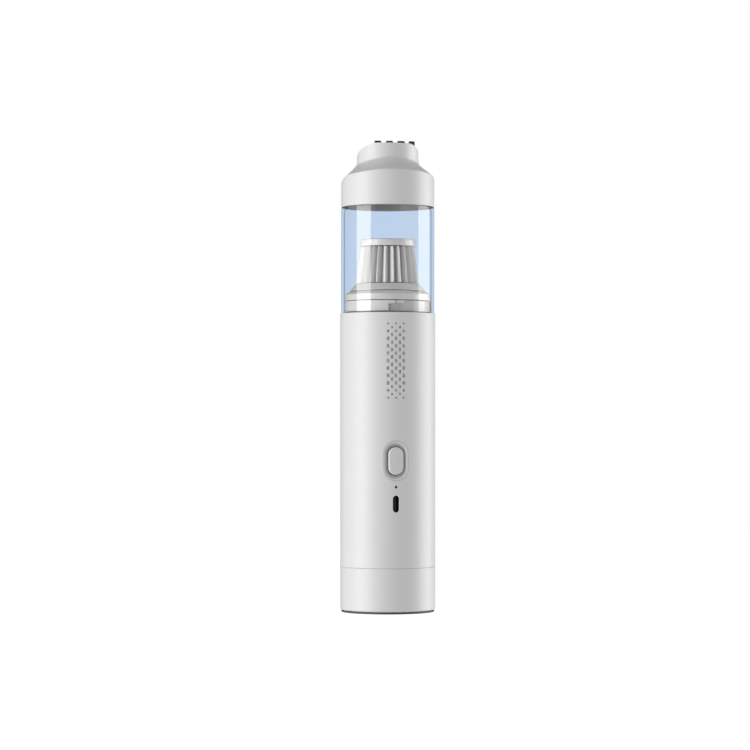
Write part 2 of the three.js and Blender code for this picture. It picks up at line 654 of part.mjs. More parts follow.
function armatureCore() {
  const radius = canBore - gap - magnet.thickness - armature.airGap;
  const poleAngle = 360 / armature.poles;
  const outline = [];
  for (let pole = 0; pole < armature.poles; pole += 1) {
    const from = pole * poleAngle + armature.slotHalfAngle;
    const to = (pole + 1) * poleAngle - armature.slotHalfAngle;
    const face = Array.from({ length: 7 }, (_, i) => around(radius, from + ((to - from) * i) / 6));
    outline.push(around(armature.hub, from), ...face, around(armature.hub, to));
  }
  return slab(outline, 0, armature.length, [circle(shaftBore, smallSides)]);
}

function mountingPlate() {
  const eye = bearing.radius + gap + motor.bossWall + gap;
  const { slotHalfAngle, slotInner, slotOuter, thickness } = motorPlate;
  const through = [-overrun, thickness + overrun];
  const slots = Array.from({ length: motorPlate.slots }, (_, i) => {
    const centre = (360 * (i + 0.5)) / motorPlate.slots;
    return sector(slotInner, slotOuter, centre - slotHalfAngle, centre + slotHalfAngle, ...through, 4);
  });
  const holes = screwSides.map((x) => screwBore(...through).translate(x, 0, 0));
  const notch = [-foam.notchHalfAngle, foam.notchHalfAngle];
  const foamNotch = sector(foamInner - gap, body.radius, ...notch, ...through);
  return cut(ring(eye, fitRadius, 0, thickness, innerSides), ...slots, ...holes, foamNotch);
}

add(vacuum, "motor_damper", motorDamper(), darkRubber, [0, 0, damperBottom]);
const motorGroup = group(vacuum, [0, 0, canBottom]);
add(motorGroup, "motor_can", motorCan(), steel);
add(motorGroup, "motor_end_bell", endBell(), blackPlastic, [0, 0, bellBottom - canBottom]);
[-1, 1].forEach((side) => {
  const [bore, radius] = [canBore - gap - magnet.thickness, canBore - gap];
  const [from, to] = [90 * side - magnet.halfAngle, 90 * side + magnet.halfAngle];
  const name = side < 0 ? "motor_magnet_left" : "motor_magnet_right";
  add(motorGroup, name, sector(bore, radius, from, to, 0, magnet.length), blackPlastic, [0, 0, magnet.lift]);
});
const bush = () => ring(shaftBore, bearing.radius, 0, bearing.length, smallSides);
const upperBush = motor.length + motor.bossHeight - gap - bearing.length;
add(motorGroup, "motor_bearing_lower", bush(), brass, [0, 0, bellBottom - canBottom + gap]);
add(motorGroup, "motor_bearing_upper", bush(), brass, [0, 0, upperBush]);
add(motorGroup, "motor_armature", armatureCore(), steel, [0, 0, armature.lift]);
const commutatorRing = ring(shaftBore, commutator.radius, 0, commutator.length, smallSides);
add(motorGroup, "commutator", commutatorRing, brass, [0, 0, armature.lift - gap - commutator.length]);
const shaftBottom = bellBottom + gap;
const shaftLength = impellerTop + shaft.tip - shaftBottom;
add(vacuum, "motor_shaft", disc(shaft.radius, 0, shaftLength, smallSides), steel, [0, 0, shaftBottom]);
add(vacuum, "motor_plate", mountingPlate(), blackPlastic, [0, 0, plateBottom]);
screwSides.forEach((x, i) => {
  const headTop = diffuserBottom + screw.headHeight;
  add(vacuum, `motor_screw_${i + 1}`, screwSolid(screw.motorLength), steel, [x, 0, headTop], [Math.PI, 0, 0]);
});

// Fan: diffuser, impeller and shroud
function bladeOutline(inner, outer, sweep, thickness, steps = 5) {
  const shares = Array.from({ length: steps + 1 }, (_, i) => i / steps);
  const edge = (side) => shares.map((share) => {
    const radius = inner + (outer - inner) * share;
    const lean = THREE.MathUtils.radToDeg((side * thickness) / 2 / radius);
    return around(radius, sweep * share + lean);
  });
  return [...edge(1), ...edge(-1).reverse()];
}

function diffuserSolid() {
  const { height, hubRadius, wall, disc: plate, vanes, vane, sweep, eye } = diffuser;
  const hub = ring(hubRadius - wall, hubRadius, 0, height, innerSides);
  const cover = ring(eye, hubRadius, height - plate, height, innerSides);
  const blades = Array.from({ length: vanes }, (_, i) =>
    slab(bladeOutline(hubRadius - wall / 2, shroudRadius - gap, sweep, vane, 2), 0, height)
      .rotateZ((2 * Math.PI * i) / vanes));
  return join(hub, cover, ...blades);
}

function impellerSolid() {
  const { radius, plate, bladeHeight, hubRadius, blades, blade, sweep } = impeller;
  const back = ring(shaftBore, radius, 0, plate, innerSides);
  const hub = ring(shaftBore, hubRadius, 0, plate + bladeHeight, smallSides);
  const fins = Array.from({ length: blades }, (_, i) =>
    slab(bladeOutline(hubRadius - blade, radius - blade, sweep, blade), plate / 2, plate + bladeHeight)
      .rotateZ((2 * Math.PI * i) / blades));
  return join(back, hub, ...fins);
}

function fanShroud() {
  const height = shroudTop - shroudBottom;
  const { wall, top, drop, eye, lipHeight } = shroud;
  const [radius, bore] = [shroudRadius, shroudRadius - wall];
  const roof = height - lipHeight;
  return turned([
    [bore, 0], [radius, 0], [radius, height], [bore, height], [bore, roof - drop],
    [eye, roof], [eye, height], [eye - top, height], [eye - top, roof - top], [bore, roof - drop - top],
  ], innerSides);
}

add(vacuum, "diffuser", diffuserSolid(), blackPlastic, [0, 0, diffuserBottom]);
add(vacuum, "impeller", impellerSolid(), whitePlastic, [0, 0, impellerBottom]);
add(vacuum, "fan_shroud", fanShroud(), blackPlastic, [0, 0, shroudBottom]);
const foamStrip = sector(foamInner, fitRadius, -foam.halfAngle, foam.halfAngle, 0, foamTop - foamBottom);
add(vacuum, "exhaust_foam", foamStrip, greyFoam, [0, 0, foamBottom]);

// Bayonet collar, its ring seal and the intake guard
const collarBore = fitRadius - collar.wall;
const collarSocket = filter.spigotRadius + gap + gasket.width + gap;
const grooveBottom = bodyTop - oring.below - gap;
const grooveTop = grooveBottom + oring.section + 2 * gap;
const oringBore = fitRadius - oring.section;

function bayonetCollar() {
  const top = collarTop - collarBottom;
  const [grooveLow, grooveHigh] = [grooveBottom - collarBottom, grooveTop - collarBottom];
  const groove = ring(oringBore - gap, body.radius + overrun, grooveLow, grooveHigh, innerSides);
  const recessFloor = fitRadius - collar.recess;
  const slotTop = top - collar.hookHeight;
  const recesses = [];
  for (let i = 0; i < collar.lugs; i += 1) {
    const turn = (360 * i) / collar.lugs;
    const bite = (from, to, bottom, upper) =>
      recesses.push(sector(recessFloor, body.radius + overrun, turn + from, turn + to, bottom, upper));
    bite(collar.start, collar.end, grooveLow, slotTop);
    bite(collar.hookEnd, collar.blockStart, slotTop - collar.slotOverlap, top + overrun);
    bite(collar.blockEnd, collar.end, slotTop - collar.slotOverlap, top + overrun);
  }
  const tube = turned([
    [collarBore, 0], [fitRadius, 0], [fitRadius, top], [collarSocket, top],
    [collarSocket, top - collar.top], [collarBore, top - collar.top],
  ]);
  return cut(tube, groove, ...recesses);
}

function intakeGuard() {
  const { thickness, slotHalfAngle, slotInner, slotOuter } = guard;
  const slots = Array.from({ length: guard.slots }, (_, i) => {
    const [from, to] = [-1, 1].map((side) => (360 * i) / guard.slots + side * slotHalfAngle);
    return sector(slotInner, slotOuter, from, to, -overrun, thickness + overrun, 3);
  });
  return cut(disc(collarBore - gap, 0, thickness, innerSides), ...slots);
}

add(vacuum, "bayonet_collar", bayonetCollar(), whitePlastic, [0, 0, collarBottom]);
const cupSeal = ring(oringBore, fitRadius, 0, oring.section, innerSides);
add(vacuum, "collar_oring", cupSeal, darkRubber, [0, 0, grooveBottom + gap]);
add(vacuum, "intake_guard", intakeGuard(), whitePlastic, [0, 0, collarBottom + guard.lift]);

// Filter
const filterGroup = group(vacuum, [0, 0, flangeBottom]);
const coreBore = core.radius - core.wall;
const filterBore = filter.spigotRadius - filter.spigotWall;

function filterFlange() {
  const { spigotRadius, spigotLength, flangeHeight, flangeWall, shoulder, ledge } = filter;
  return turned([
    [filterBore, -spigotLength], [spigotRadius, -spigotLength], [spigotRadius, 0], [fitRadius, 0],
    [fitRadius, flangeWall], [shoulder, flangeHeight], [coreBore, flangeHeight],
    [coreBore, flangeHeight - ledge], [filterBore, flangeHeight - ledge - ledge],
  ]);
}

function filterPleats() {
  const count = filter.pleats;
  // Four corners a pleat, two on the ridge and two in the valley, as shares of its width and depth
  const cornerShares = [[-0.17, 0], [0.17, 0], [0.38, 1], [0.62, 1]];
  const star = (outer, z) => {
    const points = [];
    for (let i = 0; i < count; i += 1) {
      for (const [across, inwards] of cornerShares) {
        points.push([...around(outer - filter.pleatDepth * inwards, (360 * (i + across)) / count), z]);
      }
    }
    return points;
  };
  const { pleatBottom: low, pleatTop: high, pleatHeight, paper } = filter;
  const outside = [star(low, 0), star(high, pleatHeight)];
  return lofted([...outside, star(high - paper, pleatHeight), star(low - paper, 0)], true);
}

function filterCore() {
  const height = filter.coneHeight + gap + filter.pleatHeight;
  const half = core.slotWidth / 2;
  const reach = core.radius + overrun;
  const from = filter.coneHeight + core.band;
  const slots = Array.from({ length: core.slots / 2 }, (_, i) =>
    block([-reach, reach], [-half, half], [from, height - core.band])
      .rotateZ((2 * Math.PI * i) / core.slots));
  return cut(ring(coreBore, core.radius, 0, height, innerSides), ...slots);
}

function filterTop() {
  const { discRadius, discHeight, discRound } = filter;
  const plug = coreBore - gap;
  return turned([
    [0, -core.plugLength], [plug, -core.plugLength], [plug, 0], [discRadius, 0],
    [discRadius, discHeight - discRound], [discRadius - discRound / 4, discHeight - discRound / 4],
    [discRadius - discRound, discHeight], [0, discHeight],
  ], innerSides);
}

function filterRetainer() {
  const { shoulder, coneTop: rim, coneHeight } = filter;
  const bore = core.radius + gap;
  return turned([[bore, 0], [shoulder, 0], [rim, coneHeight], [bore, coneHeight]], innerSides);
}

add(filterGroup, "filter_flange", filterFlange(), whitePlastic);
add(filterGroup, "filter_retainer", filterRetainer(), whitePlastic, [0, 0, coneBottom - flangeBottom]);
add(filterGroup, "filter_core", filterCore(), whitePlastic, [0, 0, coneBottom - flangeBottom]);
add(filterGroup, "filter_pleats", filterPleats(), paper, [0, 0, pleatBottom - flangeBottom]);
add(filterGroup, "filter_top_disc", filterTop(), whitePlastic, [0, 0, discBottom - flangeBottom]);
const gasketBore = filter.spigotRadius + gap;
const gasketRing = ring(gasketBore, gasketBore + gasket.width, 0, gasket.height, innerSides);
add(filterGroup, "filter_gasket", gasketRing, darkRubber, [0, 0, -gap - gasket.below - gasket.height]);

// Dust cup and nozzle cap
function dustCup() {
  const { height, neckHeight, neckStep } = cup;
  const tube = turned([
    [cupBore, 0], [cupRadius, 0], [cupRadius, height], [neckRadius, height],
    [neckRadius, height + neckHeight], [neckBore, height + neckHeight], [neckBore, height],
    [cupBore, height - neckStep],
  ]);
  const lugInner = fitRadius - collar.recess + gap;
  const [lugBottom, lugTop] = [grooveTop + gap - cupBottom, collarTop - collar.hookHeight - gap - cupBottom];
  const lugs = Array.from({ length: collar.lugs }, (_, i) => {
    const turn = (360 * i) / collar.lugs;
    return sector(lugInner, cupBore + cup.wall / 2, turn + lug.start, turn + lug.end, lugBottom, lugTop, 2);
  });
  return join(tube, ...lugs);
}

function capOutside() {
  const step = (radius, height, tilt) => raised(circle(radius), height, tilt);
  const round = creaseHeight - capWallTop;
  const rim = cap.creaseInset;
  const shoulderShares = [[0, 0], [0.1, 0.35], [0.38, 0.7], [1, 1]];
  const shoulder = shoulderShares.map(([inwards, up]) =>
    step(cupRadius - rim * inwards, capWallTop + round * up, creaseTilt * up));
  return lofted([
    step(cupRadius, capBottom, 0), ...shoulder, step(mouth.bore + cap.baseWall, nozzleBase, baseTilt),
    step(mouth.bore + cap.tubeWall, nozzleBase + cap.wall, baseTilt / 2), step(lipRadius, lipTop, 0),
  ]);
}

function capInside() {
  const step = (radius, height, tilt = 0) => raised(circle(radius, innerSides), height, tilt);
  const wide = cupRadius - 2 * cap.wall;
  return lofted([
    step(plugBore, capBottom - overrun), step(plugBore, neckTop + gap), step(wide, neckTop + cap.ledge),
    step(wide, capWallTop), step(creaseRadius - cap.wall, creaseHeight - cap.wall, creaseTilt),
    step(mouth.bore, nozzleBase - cap.wall, baseTilt), step(mouth.bore, lipTop + overrun),
  ]);
}

// The mouth is level across the front, then falls towards the back.
function aboveMouth(height) {
  const hinge = -lipRadius * Math.cos(THREE.MathUtils.degToRad(mouth.flatHalfAngle));
  const reach = body.radius + overrun;
  const slope = Math.tan(THREE.MathUtils.degToRad(mouth.fall));
  const back = height - (reach - hinge) * slope;
  const roof = height + reach;
  const outline = [[-reach, height], [hinge, height], [reach, back], [reach, roof], [-reach, roof]];
  return slab(outline, -reach, reach).rotateX(Math.PI / 2).rotateZ(Math.PI / 2);
}

function nozzleCap() {
  const neckGroove = ring(plugRadius, neckRadius + gap, capBottom - overrun, neckTop + gap);
  const grooveFloor = plugRadius - oring.section / 2 - gap;
  const sealGroove = ring(grooveFloor, neckRadius, sealBottom - gap, sealBottom + oring.section + gap);
  return cut(capOutside(), capInside(), neckGroove, sealGroove, aboveMouth(lipTop));
}

function mouthLip() {
  const bore = liningRadius - mouth.lining;
  const lining = ring(bore, liningRadius, lipTop - mouth.liningDepth, lipTop + teeth.height, innerSides);
  const half = (teeth.pitch - teeth.width) / 2;
  const slots = Array.from({ length: teeth.count + 1 }, (_, i) => {
    const centre = (i - teeth.count / 2) * teeth.pitch;
    const left = i === 0 ? -body.radius : centre - half;
    const right = i === teeth.count ? body.radius : centre + half;
    return block([left, right], [-body.radius, 0], [lipTop, lipTop + overrun]);
  });
  const behind = common(aboveMouth(lipTop), block([-body.radius, body.radius],
    [-mouth.bore / 2, body.radius], [lipTop - mouth.liningDepth, lipTop + overrun]));
  return cut(lining, behind, ...slots);
}

function flapSeat() {
  const { earInner, earDrop, earRise, pinRadius } = seat;
  const tube = ring(seatBore, liningRadius, seatBottom, seatTop, innerSides);
  const ears = [-1, 1].map((side) => {
    const across = [side * earInner, side * earOuter].sort((a, b) => a - b);
    return block(across, [earFront, pinBack + flap.barrel], [pinHeight - earDrop, seatBottom + earRise]);
  });
  const half = earOuter + overrun;
  const hole = disc(pinRadius + gap, -half, half, smallSides).rotateY(Math.PI / 2);
  return cut(join(tube, ...ears), hole.translate(0, pinBack, pinHeight));
}

function inletFlap() {
  const half = flap.halfWidth;
  const thick = flap.thickness / 2;
  const plate = disc(flapRadius, -thick, thick, innerSides).translate(0, -pinBack, 0);
  const arm = block([-half, half], [-pinBack + flapRadius / 2, 0], [-thick, thick]);
  const barrel = disc(flap.barrel, -half, half, smallSides).rotateY(Math.PI / 2);
  const bore = disc(seat.pinRadius + gap, -half - overrun, half + overrun, smallSides).rotateY(Math.PI / 2);
  const earReach = Math.hypot(pinBack - earFront, seat.earDrop) + gap;
  const earSpace = [-1, 1].map((side) => {
    const across = [side * (seat.earInner - gap), side * body.radius].sort((a, b) => a - b);
    return block(across, [-earReach, body.radius], [-overrun, overrun]);
  });
  return cut(join(cut(plate, ...earSpace), arm, barrel), bore);
}

add(vacuum, "dust_cup", dustCup(), clearBlue, [0, 0, cupBottom]);
add(vacuum, "nozzle_cap", nozzleCap(), warmGrey);
const capSealBore = plugRadius - oring.section / 2;
const capSeal = ring(capSealBore, plugRadius + gap, 0, oring.section, innerSides);
add(vacuum, "cap_oring", capSeal, darkRubber, [0, 0, sealBottom]);
add(vacuum, "mouth_lip", mouthLip(), darkRubber);
add(vacuum, "flap_seat", flapSeat(), whitePlastic);
const pin = disc(seat.pinRadius, -earOuter, earOuter, smallSides);
add(vacuum, "flap_pin", pin, steel, [0, pinBack, pinHeight], [0, Math.PI / 2, 0]);
add(vacuum, "inlet_flap", inletFlap(), darkRubber, [0, pinBack, pinHeight]);

export default vacuum;
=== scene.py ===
"""Looks of a slim cordless car vacuum cleaner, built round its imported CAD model.

Lengths are millimetres in the classes and become metres where a mesh is made. The frame is the CAD's: +Z up,
and the front with the power button faces -Y. Angles round the handle are degrees from the front, positive
towards +X.
"""

from __future__ import annotations

import json
import logging
import math
from dataclasses import dataclass, field
from enum import Enum
from typing import Callable, Sequence

import bmesh
import bpy
import numpy as np
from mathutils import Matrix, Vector
from mathutils.geometry import delaunay_2d_cdt
from numpy.typing import NDArray


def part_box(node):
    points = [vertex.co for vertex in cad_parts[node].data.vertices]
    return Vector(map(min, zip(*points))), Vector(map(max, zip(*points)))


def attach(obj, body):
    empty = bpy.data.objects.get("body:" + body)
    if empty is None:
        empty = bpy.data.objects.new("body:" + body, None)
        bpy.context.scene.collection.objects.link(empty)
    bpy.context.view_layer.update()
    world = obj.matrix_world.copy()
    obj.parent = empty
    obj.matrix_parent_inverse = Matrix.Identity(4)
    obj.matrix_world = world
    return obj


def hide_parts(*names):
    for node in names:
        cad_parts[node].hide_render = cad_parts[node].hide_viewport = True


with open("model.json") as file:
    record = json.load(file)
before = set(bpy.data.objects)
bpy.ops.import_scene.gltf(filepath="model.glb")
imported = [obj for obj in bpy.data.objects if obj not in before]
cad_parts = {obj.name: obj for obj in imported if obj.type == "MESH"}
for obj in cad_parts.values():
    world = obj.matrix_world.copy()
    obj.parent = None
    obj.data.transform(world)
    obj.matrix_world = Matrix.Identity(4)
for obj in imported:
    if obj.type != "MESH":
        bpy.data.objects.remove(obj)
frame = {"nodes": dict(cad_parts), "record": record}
log = logging.getLogger("vacuum")

Points = NDArray[np.float64]
Move = Callable[[Points], Points]
Colour = tuple[float, float, float]

MM = 0.001
MERGED = 2e-7  # points closer than this many metres become one
QUARTER = 1 - math.sqrt(0.5)  # how far the middle of a quarter round of radius one lies from its sides
ALONG_X = (2, 0, 1)  # the order of axes that lays a piece built along Z down along X
HALVES = (0, 180)  # where the two equal halves of the bayonet begin, in degrees
CORNER_SHARE = 0.45  # the largest share of a side that a rounded corner takes up
STEEPEST = 0.05  # the least tangent that a corner's half angle is taken to have
CLEARANCE = 0.55  # the share of the spacing that inner points keep from an outline
WELDED = 1e-7  # corners closer than this many millimetres become one when an outline is filled


# Mesh tools

def turn_points(radius: Points | float, degrees: Points | float, height: Points | float) -> Points:
    """Points at radii, angles round the handle and heights, with the three shapes broadcast together."""
    radius, angle, height = np.broadcast_arrays(radius, np.radians(degrees), height)
    return np.stack([radius * np.sin(angle), -radius * np.cos(angle), height], axis=-1)


def evenly(count: int) -> Points:
    """That many angles round a full turn, in degrees."""
    return np.arange(count) * 360 / count


def on_arc(radius: float, degrees: Points) -> Points:
    """Flat points at a radius and at angles round the handle."""
    return turn_points(radius, degrees, 0.0)[..., :2]


def at_height(flat: Points, height: float) -> Points:
    """Flat points raised to a height."""
    return np.column_stack([flat, np.full(len(flat), height)])


def arc_corner(before: Points, corner: Points, after: Points, radius: float, steps: int) -> Points:
    """Rounds one corner of a profile.

    The arc is tangent to both sides. It starts radius / tan(half the inner angle) before the corner, or at
    CORNER_SHARE of the shorter side where that is less, and is written as a quadratic curve with the corner
    as its middle control point: (1 - t)^2 start + 2 t (1 - t) corner + t^2 end.

    Args:
        before: The profile's previous point.
        corner: The corner itself.
        after: The profile's next point.
        radius: The wanted radius.
        steps: How many pieces the arc has.

    Returns:
        The arc's points, (steps + 1, 2).
    """
    back, ahead = before - corner, after - corner
    lengths = np.linalg.norm(back), np.linalg.norm(ahead)
    cosine = np.clip(back @ ahead / (lengths[0] * lengths[1]), -1, 1)
    half = math.acos(cosine) / 2
    reach = min(radius / max(math.tan(half), STEEPEST), CORNER_SHARE * min(lengths))
    start, end = corner + back / lengths[0] * reach, corner + ahead / lengths[1] * reach
    t = np.linspace(0, 1, steps + 1)[:, None]
    return (1 - t) ** 2 * start + 2 * t * (1 - t) * corner + t**2 * end


def rounded(profile: Sequence[Sequence[float]], radius: float, steps: int = 3, closed: bool = True) -> Points:
    """A profile with its corners rounded.

    Args:
        profile: Rows of radius and height, or with a third number, the corner's own radius.
        radius: The radius of corners that have none of their own.
        steps: How many pieces an arc has.
        closed: Whether the last point meets the first.

    Returns:
        The rounded profile, (n, 2).
    """
    points = np.array([row[:2] for row in profile], float)
    radii = [row[2] if len(row) > 2 else radius for row in profile]
    parts = []
    for i, (point, own) in enumerate(zip(points, radii)):
        end = not closed and i in (0, len(points) - 1)
        if end or own <= 0:
            parts.append(point[None])
        else:
            parts.append(arc_corner(points[i - 1], point, points[(i + 1) % len(points)], own, steps))
    return np.concatenate(parts)


def pill(width: Points | float, length: Points | float, count: int = 48) -> Points:
    """Upright outlines with half-round ends: a circle of half the width, pulled apart along the length.

    Args:
        width: One width or k of them.
        length: One length or k of them.
        count: How many points an outline has.

    Returns:
        (count, 2), or (k, count, 2) for k sizes.
    """
    width, length = np.asarray(width, float)[..., None], np.asarray(length, float)[..., None]
    angle = (np.arange(count) + 0.5) * 2 * np.pi / count
    radius = np.minimum(width, length) / 2
    x = radius * np.cos(angle) + (width / 2 - radius) * np.sign(np.cos(angle))
    y = radius * np.sin(angle) + (length / 2 - radius) * np.sign(np.sin(angle))
    return np.stack([x, y], axis=-1)


def grown(outline: Points, distance: float) -> Points:
    """A closed outline moved outwards along its own normals, inwards where the distance is negative."""
    ahead, back = np.roll(outline, -1, 0) - outline, outline - np.roll(outline, 1, 0)
    unit = lambda v: v / np.linalg.norm(v, axis=1, keepdims=True)
    square = lambda v: np.stack([v[:, 1], -v[:, 0]], axis=1)
    normal = square(unit(unit(ahead) + unit(back)))
    spread = np.sum(normal * square(unit(ahead)), axis=1)
    side = np.sign(np.sum(outline * square(np.roll(outline, -1, 0))))
    return outline + side * distance * normal / np.maximum(spread, 0.5)[:, None]


def inside(points: Points, outline: Points) -> NDArray[np.bool_]:
    """Which points lie in an outline, by counting the edges that a ray along +X crosses."""
    x, y = points[:, :1], points[:, 1:]
    x0, y0 = outline[:, 0], outline[:, 1]
    x1, y1 = np.roll(x0, -1), np.roll(y0, -1)
    crosses = (y0 > y) != (y1 > y)
    with np.errstate(divide="ignore", invalid="ignore"):
        at = x0 + (y - y0) * (x1 - x0) / (y1 - y0)
    return np.sum(crosses & (x < at), axis=1) % 2 == 1


def near(points: Points, outline: Points, distance: float) -> NDArray[np.bool_]:
    """Which points lie within a distance of an outline's corners."""
    apart = np.linalg.norm(points[:, None] - outline[None], axis=2)
    return apart.min(axis=1) < distance


def triangulated(border: Points, holes: Sequence[Points], spacing: float) -> tuple[Points, NDArray[np.int64]]:
    """Fills a flat outline with triangles and leaves its holes open.

    A lattice of inner points at the spacing keeps the triangles even, so that the sheet can be bent on a
    tube.

    Args:
        border: The outer outline.
        holes: Outlines that stay open.
        spacing: The lattice's step.

    Returns:
        Points (n, 2) and triangles (m, 3).
    """
    low, high = border.min(0), border.max(0)
    counts = np.maximum(np.ceil((high - low) / spacing).astype(int), 1)
    axes = [np.linspace(a, b, n + 1) for a, b, n in zip(low, high, counts)]
    lattice = np.stack(np.meshgrid(*axes), axis=-1).reshape(-1, 2)
    lattice = lattice[inside(lattice, border)]
    for loop in [border, *holes]:
        box = np.all((lattice > loop.min(0) - spacing) & (lattice < loop.max(0) + spacing), axis=1)
        drop = np.zeros(len(lattice), bool)
        if box.any():
            drop[box] = near(lattice[box], loop, CLEARANCE * spacing)
            if loop is not border:
                drop[box] |= inside(lattice[box], loop)
        lattice = lattice[~drop]
    loops = [border, *holes]
    starts = np.cumsum([0] + [len(loop) for loop in loops])
    sides = [np.column_stack([ring, np.roll(ring, -1)]) for ring in map(np.arange, starts, starts[1:])]
    corners = np.concatenate([*loops, lattice])
    vertices = [Vector(corner) for corner in corners.tolist()]
    found = delaunay_2d_cdt(vertices, np.concatenate(sides).tolist(), [], 1, WELDED)
    points = np.array([list(p) for p in found[0]], float)
    faces = np.array(found[2], int)
    centres = points[faces].mean(axis=1)
    keep = np.ones(len(faces), bool)
    for hole in holes:
        box = np.all((centres > hole.min(0)) & (centres < hole.max(0)), axis=1)
        keep[box] &= ~inside(centres[box], hole)
    return points, faces[keep]


@dataclass
class Skin:
    """Collects the grids and sheets of one piece and makes its closed mesh."""

    points: list[Points] = field(default_factory=list)
    faces: list[list[int]] = field(default_factory=list)
    size: int = 0

    def place(self, points: Points) -> int:
        """Adds points and gives the number of the first."""
        start = self.size
        flat = points.reshape(-1, 3)
        self.points.append(flat)
        self.size += len(flat)
        return start

    def grid(self, points: Points, around: bool = True, along: bool = False) -> Skin:
        """Adds a surface given as rows of points.

        Args:
            points: (rows, columns, 3).
            around: Whether the last column meets the first.
            along: Whether the last row meets the first.

        Returns:
            The skin itself.
        """
        rows, columns = points.shape[:2]
        start = self.place(points)
        index = start + np.arange(rows * columns).reshape(rows, columns)
        if around:
            index = np.concatenate([index, index[:, :1]], axis=1)
        if along:
            index = np.concatenate([index, index[:1]], axis=0)
        quads = np.stack([index[:-1, :-1], index[:-1, 1:], index[1:, 1:], index[1:, :-1]], axis=-1)
        self.faces.extend(quads.reshape(-1, 4).tolist())
        return self

    def sheet(self, points: Points, triangles: NDArray[np.int64]) -> Skin:
        """Adds loose triangles."""
        start = self.place(points)
        self.faces.extend((triangles + start).tolist())
        return self

    def cap(self, ring: Points) -> Skin:
        """Closes a flat ring of points with one face."""
        start = self.place(ring)
        self.faces.append(list(range(start, start + len(ring))))
        return self

    def join(self, other: Skin, moved: Callable[[Points], Points]) -> Skin:
        """Adds another skin, with its points moved."""
        start = self.place(moved(np.concatenate(other.points)))
        self.faces.extend([index + start for index in face] for face in other.faces)
        return self

    def lathe(self, profile: Points, sides: int = 128, closed: bool = True) -> Skin:
        """Turns a profile of radius and height round Z: point (r, z) becomes (r sin a, -r cos a, z)."""
        line = np.concatenate([profile, profile[:1]]) if closed else profile
        return self.grid(turn_points(line[:, :1], evenly(sides)[None], line[:, 1:]))

    def tower(self, rings: Sequence[Points]) -> Skin:
        """Adds rings one after another and closes the first and the last."""
        return self.grid(np.stack(rings)).cap(rings[0]).cap(rings[-1])

    def piece(self, name: str, sharp: float, moved: Move | None) -> bpy.types.Object:
        """Makes the Blender object: doubles merged, faces outwards, smooth but for edges over an angle.

        Args:
            name: The object's name.
            sharp: Edges whose faces turn more than this many degrees stay sharp.
            moved: Maps the points, in millimetres, before the mesh is made.

        Returns:
            The new object, linked to the scene.
        """
        points = np.concatenate(self.points)
        if moved:
            points = moved(points)
        mesh = bpy.data.meshes.new(name)
        mesh.from_pydata((points * MM).tolist(), [], self.faces)
        work = bmesh.new()
        work.from_mesh(mesh)
        bmesh.ops.remove_doubles(work, verts=work.verts, dist=MERGED)
        bmesh.ops.dissolve_degenerate(work, dist=MERGED / 2, edges=work.edges)
        bmesh.ops.recalc_face_normals(work, faces=work.faces)
        work.to_mesh(mesh)
        work.free()
        mesh.shade_smooth()
        mesh.set_sharp_from_angle(angle=math.radians(sharp))
        made = bpy.data.objects.new(name, mesh)
        bpy.context.scene.collection.objects.link(made)
        torn = count_open_edges(mesh)
        log.info("%s: %d faces%s", name, len(mesh.polygons), f", {torn} open edges" if torn else "")
        return made


def count_open_edges(mesh: bpy.types.Mesh) -> int:
    """How many edges don't belong to exactly two faces."""
    edges = np.zeros(len(mesh.loops), int)
    mesh.loops.foreach_get("edge_index", edges)
    return int(np.sum(np.bincount(edges, minlength=len(mesh.edges)) != 2))


def placed(x: float = 0, y: float = 0, z: float = 0, order: Sequence[int] = (0, 1, 2),
           signs: Sequence[int] = (1, 1, 1)) -> Move:
    """A move that takes the axes in an order, flips them by signs and then shifts by three lengths."""
    return lambda points: points[:, list(order)] * np.array(signs) + np.array([x, y, z])


def to_front(y: float, z: float) -> Move:
    """Faces a piece built with its outward side up to the front: (a, b, c) becomes (a, y - c, b + z)."""
    return placed(0, y, z, (0, 2, 1), (1, -1, 1))


def span(node: str) -> tuple[Points, Points]:
    """The lowest and highest corner of a CAD node, in millimetres."""
    low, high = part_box(node)
    return np.array(low) / MM, np.array(high) / MM


def heights(node: str) -> tuple[float, float]:
    """The lowest and highest Z of a CAD node, in millimetres."""
    low, high = span(node)
    return float(low[2]), float(high[2])


def middle(node: str) -> Points:
    """The middle of a CAD node's box, in millimetres."""
    return sum(span(node)) / 2


def seen_from_front(node: str) -> tuple[float, float, float]:
    """How far out a CAD node's back and face lie towards the front, and the height of its middle."""
    low, high = span(node)
    return -high[1], -low[1], middle(node)[2]


def rectangle(across: Sequence[float], up: Sequence[float], radii: Sequence[float]) -> list[list[float]]:
    """A rectangle's corners with their radii, from the lower left one by the lower right one round."""
    (left, right), (low, high) = across, up
    corners = [[left, low], [right, low], [right, high], [left, high]]
    return [[*corner, own] for corner, own in zip(corners, radii)]


def turned(profile: Sequence[Sequence[float]], radius: float = 0, steps: int = 3, sides: int = 128,
           closed: bool = True) -> Skin:
    """A piece turned round Z from a profile with rounded corners.

    Args:
        profile: Rows of radius and height, or with a third number, the corner's own radius.
        radius: The radius of corners that have none of their own.
        steps: How many pieces a corner's arc has.
        sides: How many columns go round.
        closed: Whether the last point meets the first. An open profile starts and ends on the axis, or at the
            edge of a floor.

    Returns:
        The piece's skin.
    """
    return Skin().lathe(rounded(profile, radius, steps, closed), sides, closed)


def rod(radius: float, length: float, ends: tuple[float, float], sides: int = 48, steps: int = 3) -> Skin:
    """A round rod from height zero up, whose two ends are rounded by those radii."""
    line = [[0, 0], [radius, 0, ends[0]], [radius, length, ends[1]], [0, length]]
    return turned(line, 0, steps, sides, closed=False)


